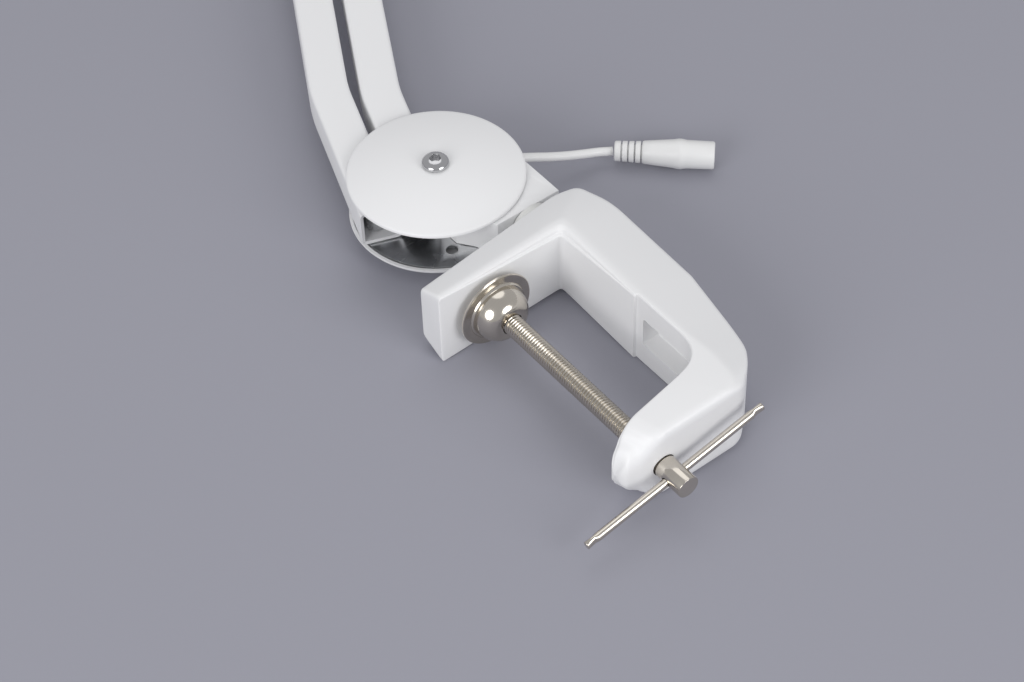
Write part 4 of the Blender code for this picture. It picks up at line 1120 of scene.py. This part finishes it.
def make_ring_light():
    """The diffuser, the board under it and the board's light chips."""
    diffuser = flat_ring(HEAD_RADIUS - 0.0060, LIGHT_HEIGHT + FIT, LIGHT_HEIGHT + 0.0023, 0.0002)
    piece("diffuser_ring", move(diffuser, HEAD_PUT), OPAL, "head", ["light_diffuser"])
    low = BOARD_SEAT + FIT
    high = low + 0.0016
    board = flat_ring(HEAD_RADIUS - 0.0030, low, high, 0.0001)
    piece("led_ring_board", move(board, HEAD_PUT), BOARD, "head", ["led_board"])
    make_chips(high)


def make_chips(height):
    """Sixty surface-mounted light chips on the ring board."""
    count, ring_radius, size = 60, 0.0775, (0.0028, 0.0035, 0.0008, 1)
    chips = bmesh.new()
    for index in range(count):
        turn = Matrix.Rotation(math.tau * index / count, 4, "Z") @ at(ring_radius, 0, height + 0.00045)
        bmesh.ops.create_cube(chips, size=1, matrix=turn @ Matrix.Diagonal(size))
    tops = [face for face in chips.faces if face.normal.z > 0.9]
    bmesh.ops.inset_individual(chips, faces=tops, thickness=0.0005, depth=0.0)
    for face in tops:
        face.material_index = 1
    corners = list({corner for face in tops for corner in face.verts})
    bmesh.ops.translate(chips, vec=(0, 0, -0.0001), verts=corners)
    piece("led_chips", move(chips, HEAD_PUT), [NYLON, PHOSPHOR], "head")


def make_buttons():
    inside = (HEAD_RADIUS - HEAD_WALL) * math.cos(math.pi / 32)
    radius, flange, out = 0.0045, 0.0053, HEAD_RADIUS
    for name in BUTTONS:
        cap = turned([(0, inside - 0.0030), (flange, inside - 0.0030), (flange, inside - 0.0009),
                      (radius, inside - 0.0009), (radius, out + 0.0008), (radius - 0.0006, out + 0.0014),
                      (0.0030, out + 0.0015), (0.0028, out + 0.0012), (0, out + 0.0010)],
                     edge=0.0003, sides=48)
        piece(f"{name}_key_cap", move(cap, button_axis(name)), RUBBER, f"{name}_key",
              [f"{name}_button"])


# ---------------------------------------------------------------- floor, light and camera

CAMERA_AT = Vector((-0.4079, -0.5227, 0.69866))  # from the clamp's corner
CAMERA_WAY = Vector((0.3998, 0.5440, -0.7377))
CAMERA_ROLL = math.radians(-2.04)
CAMERA_LENS = 90.25  # mm, on a sensor 36 mm wide


def make_stage():
    floor = bmesh.new()
    bmesh.ops.create_grid(floor, x_segments=1, y_segments=1, size=6)
    mesh = bpy.data.meshes.new("floor")
    floor.to_mesh(mesh)
    floor.free()
    mesh.materials.append(floor_look())
    ground = bpy.data.objects.new("floor", mesh)
    ground.location.z = -0.0002
    bpy.context.collection.objects.link(ground)


def area_light(name, away, size, power):
    """A round soft light that stands away from the clamp and is aimed at it."""
    light = bpy.data.lights.new(name, "AREA")
    light.shape = "DISK"
    light.size = size
    light.energy = power
    lamp = bpy.data.objects.new(name, light)
    lamp.location = CORNER + away
    lamp.rotation_euler = (-away).to_track_quat("-Z", "Y").to_euler()
    bpy.context.collection.objects.link(lamp)


def make_light():
    world = bpy.data.worlds.new("studio")
    world.use_nodes = True
    background = world.node_tree.nodes["Background"]
    background.inputs["Color"].default_value = (0.97, 0.975, 1.0, 1)
    background.inputs["Strength"].default_value = 0.53
    bpy.context.scene.world = world
    area_light("overhead_box", Vector((0.45, 0.80, 1.70)), 1.5, 4.6)
    area_light("front_left_box", Vector((-1.85, -0.50, 0.88)), 1.3, 19.5)
    area_light("front_right_box", Vector((0.35, -1.90, 0.92)), 1.3, 17)


def make_camera():
    lens = bpy.data.cameras.new("camera")
    lens.sensor_width = 36
    lens.lens = CAMERA_LENS
    lens.clip_start = 0.01
    lens.clip_end = 30
    camera = bpy.data.objects.new("camera", lens)
    forward = CAMERA_WAY.normalized()
    right = forward.cross(Vector((0, 0, 1))).normalized()
    up = right.cross(forward)
    side = right * math.cos(CAMERA_ROLL) + up * math.sin(CAMERA_ROLL)
    top = up * math.cos(CAMERA_ROLL) - right * math.sin(CAMERA_ROLL)
    turn = Matrix((side, top, -forward)).transposed().to_4x4()
    camera.matrix_world = Matrix.Translation(CORNER + CAMERA_AT) @ turn
    bpy.context.collection.objects.link(camera)
    bpy.context.scene.camera = camera


make_camera()
make_lead()
make_clamp()
make_bush()
make_pad()
make_spindle()
make_t_bar()
make_base()
make_swivel_post()
make_lower_arm()
make_upper_arm()
make_elbow_and_wrist()
make_head_mount()
make_back_shell()
make_front_bezel()
make_lens()
make_retaining_ring()
make_ring_light()
make_buttons()
make_stage()
make_light()
bpy.context.scene.view_settings.view_transform = "Standard"
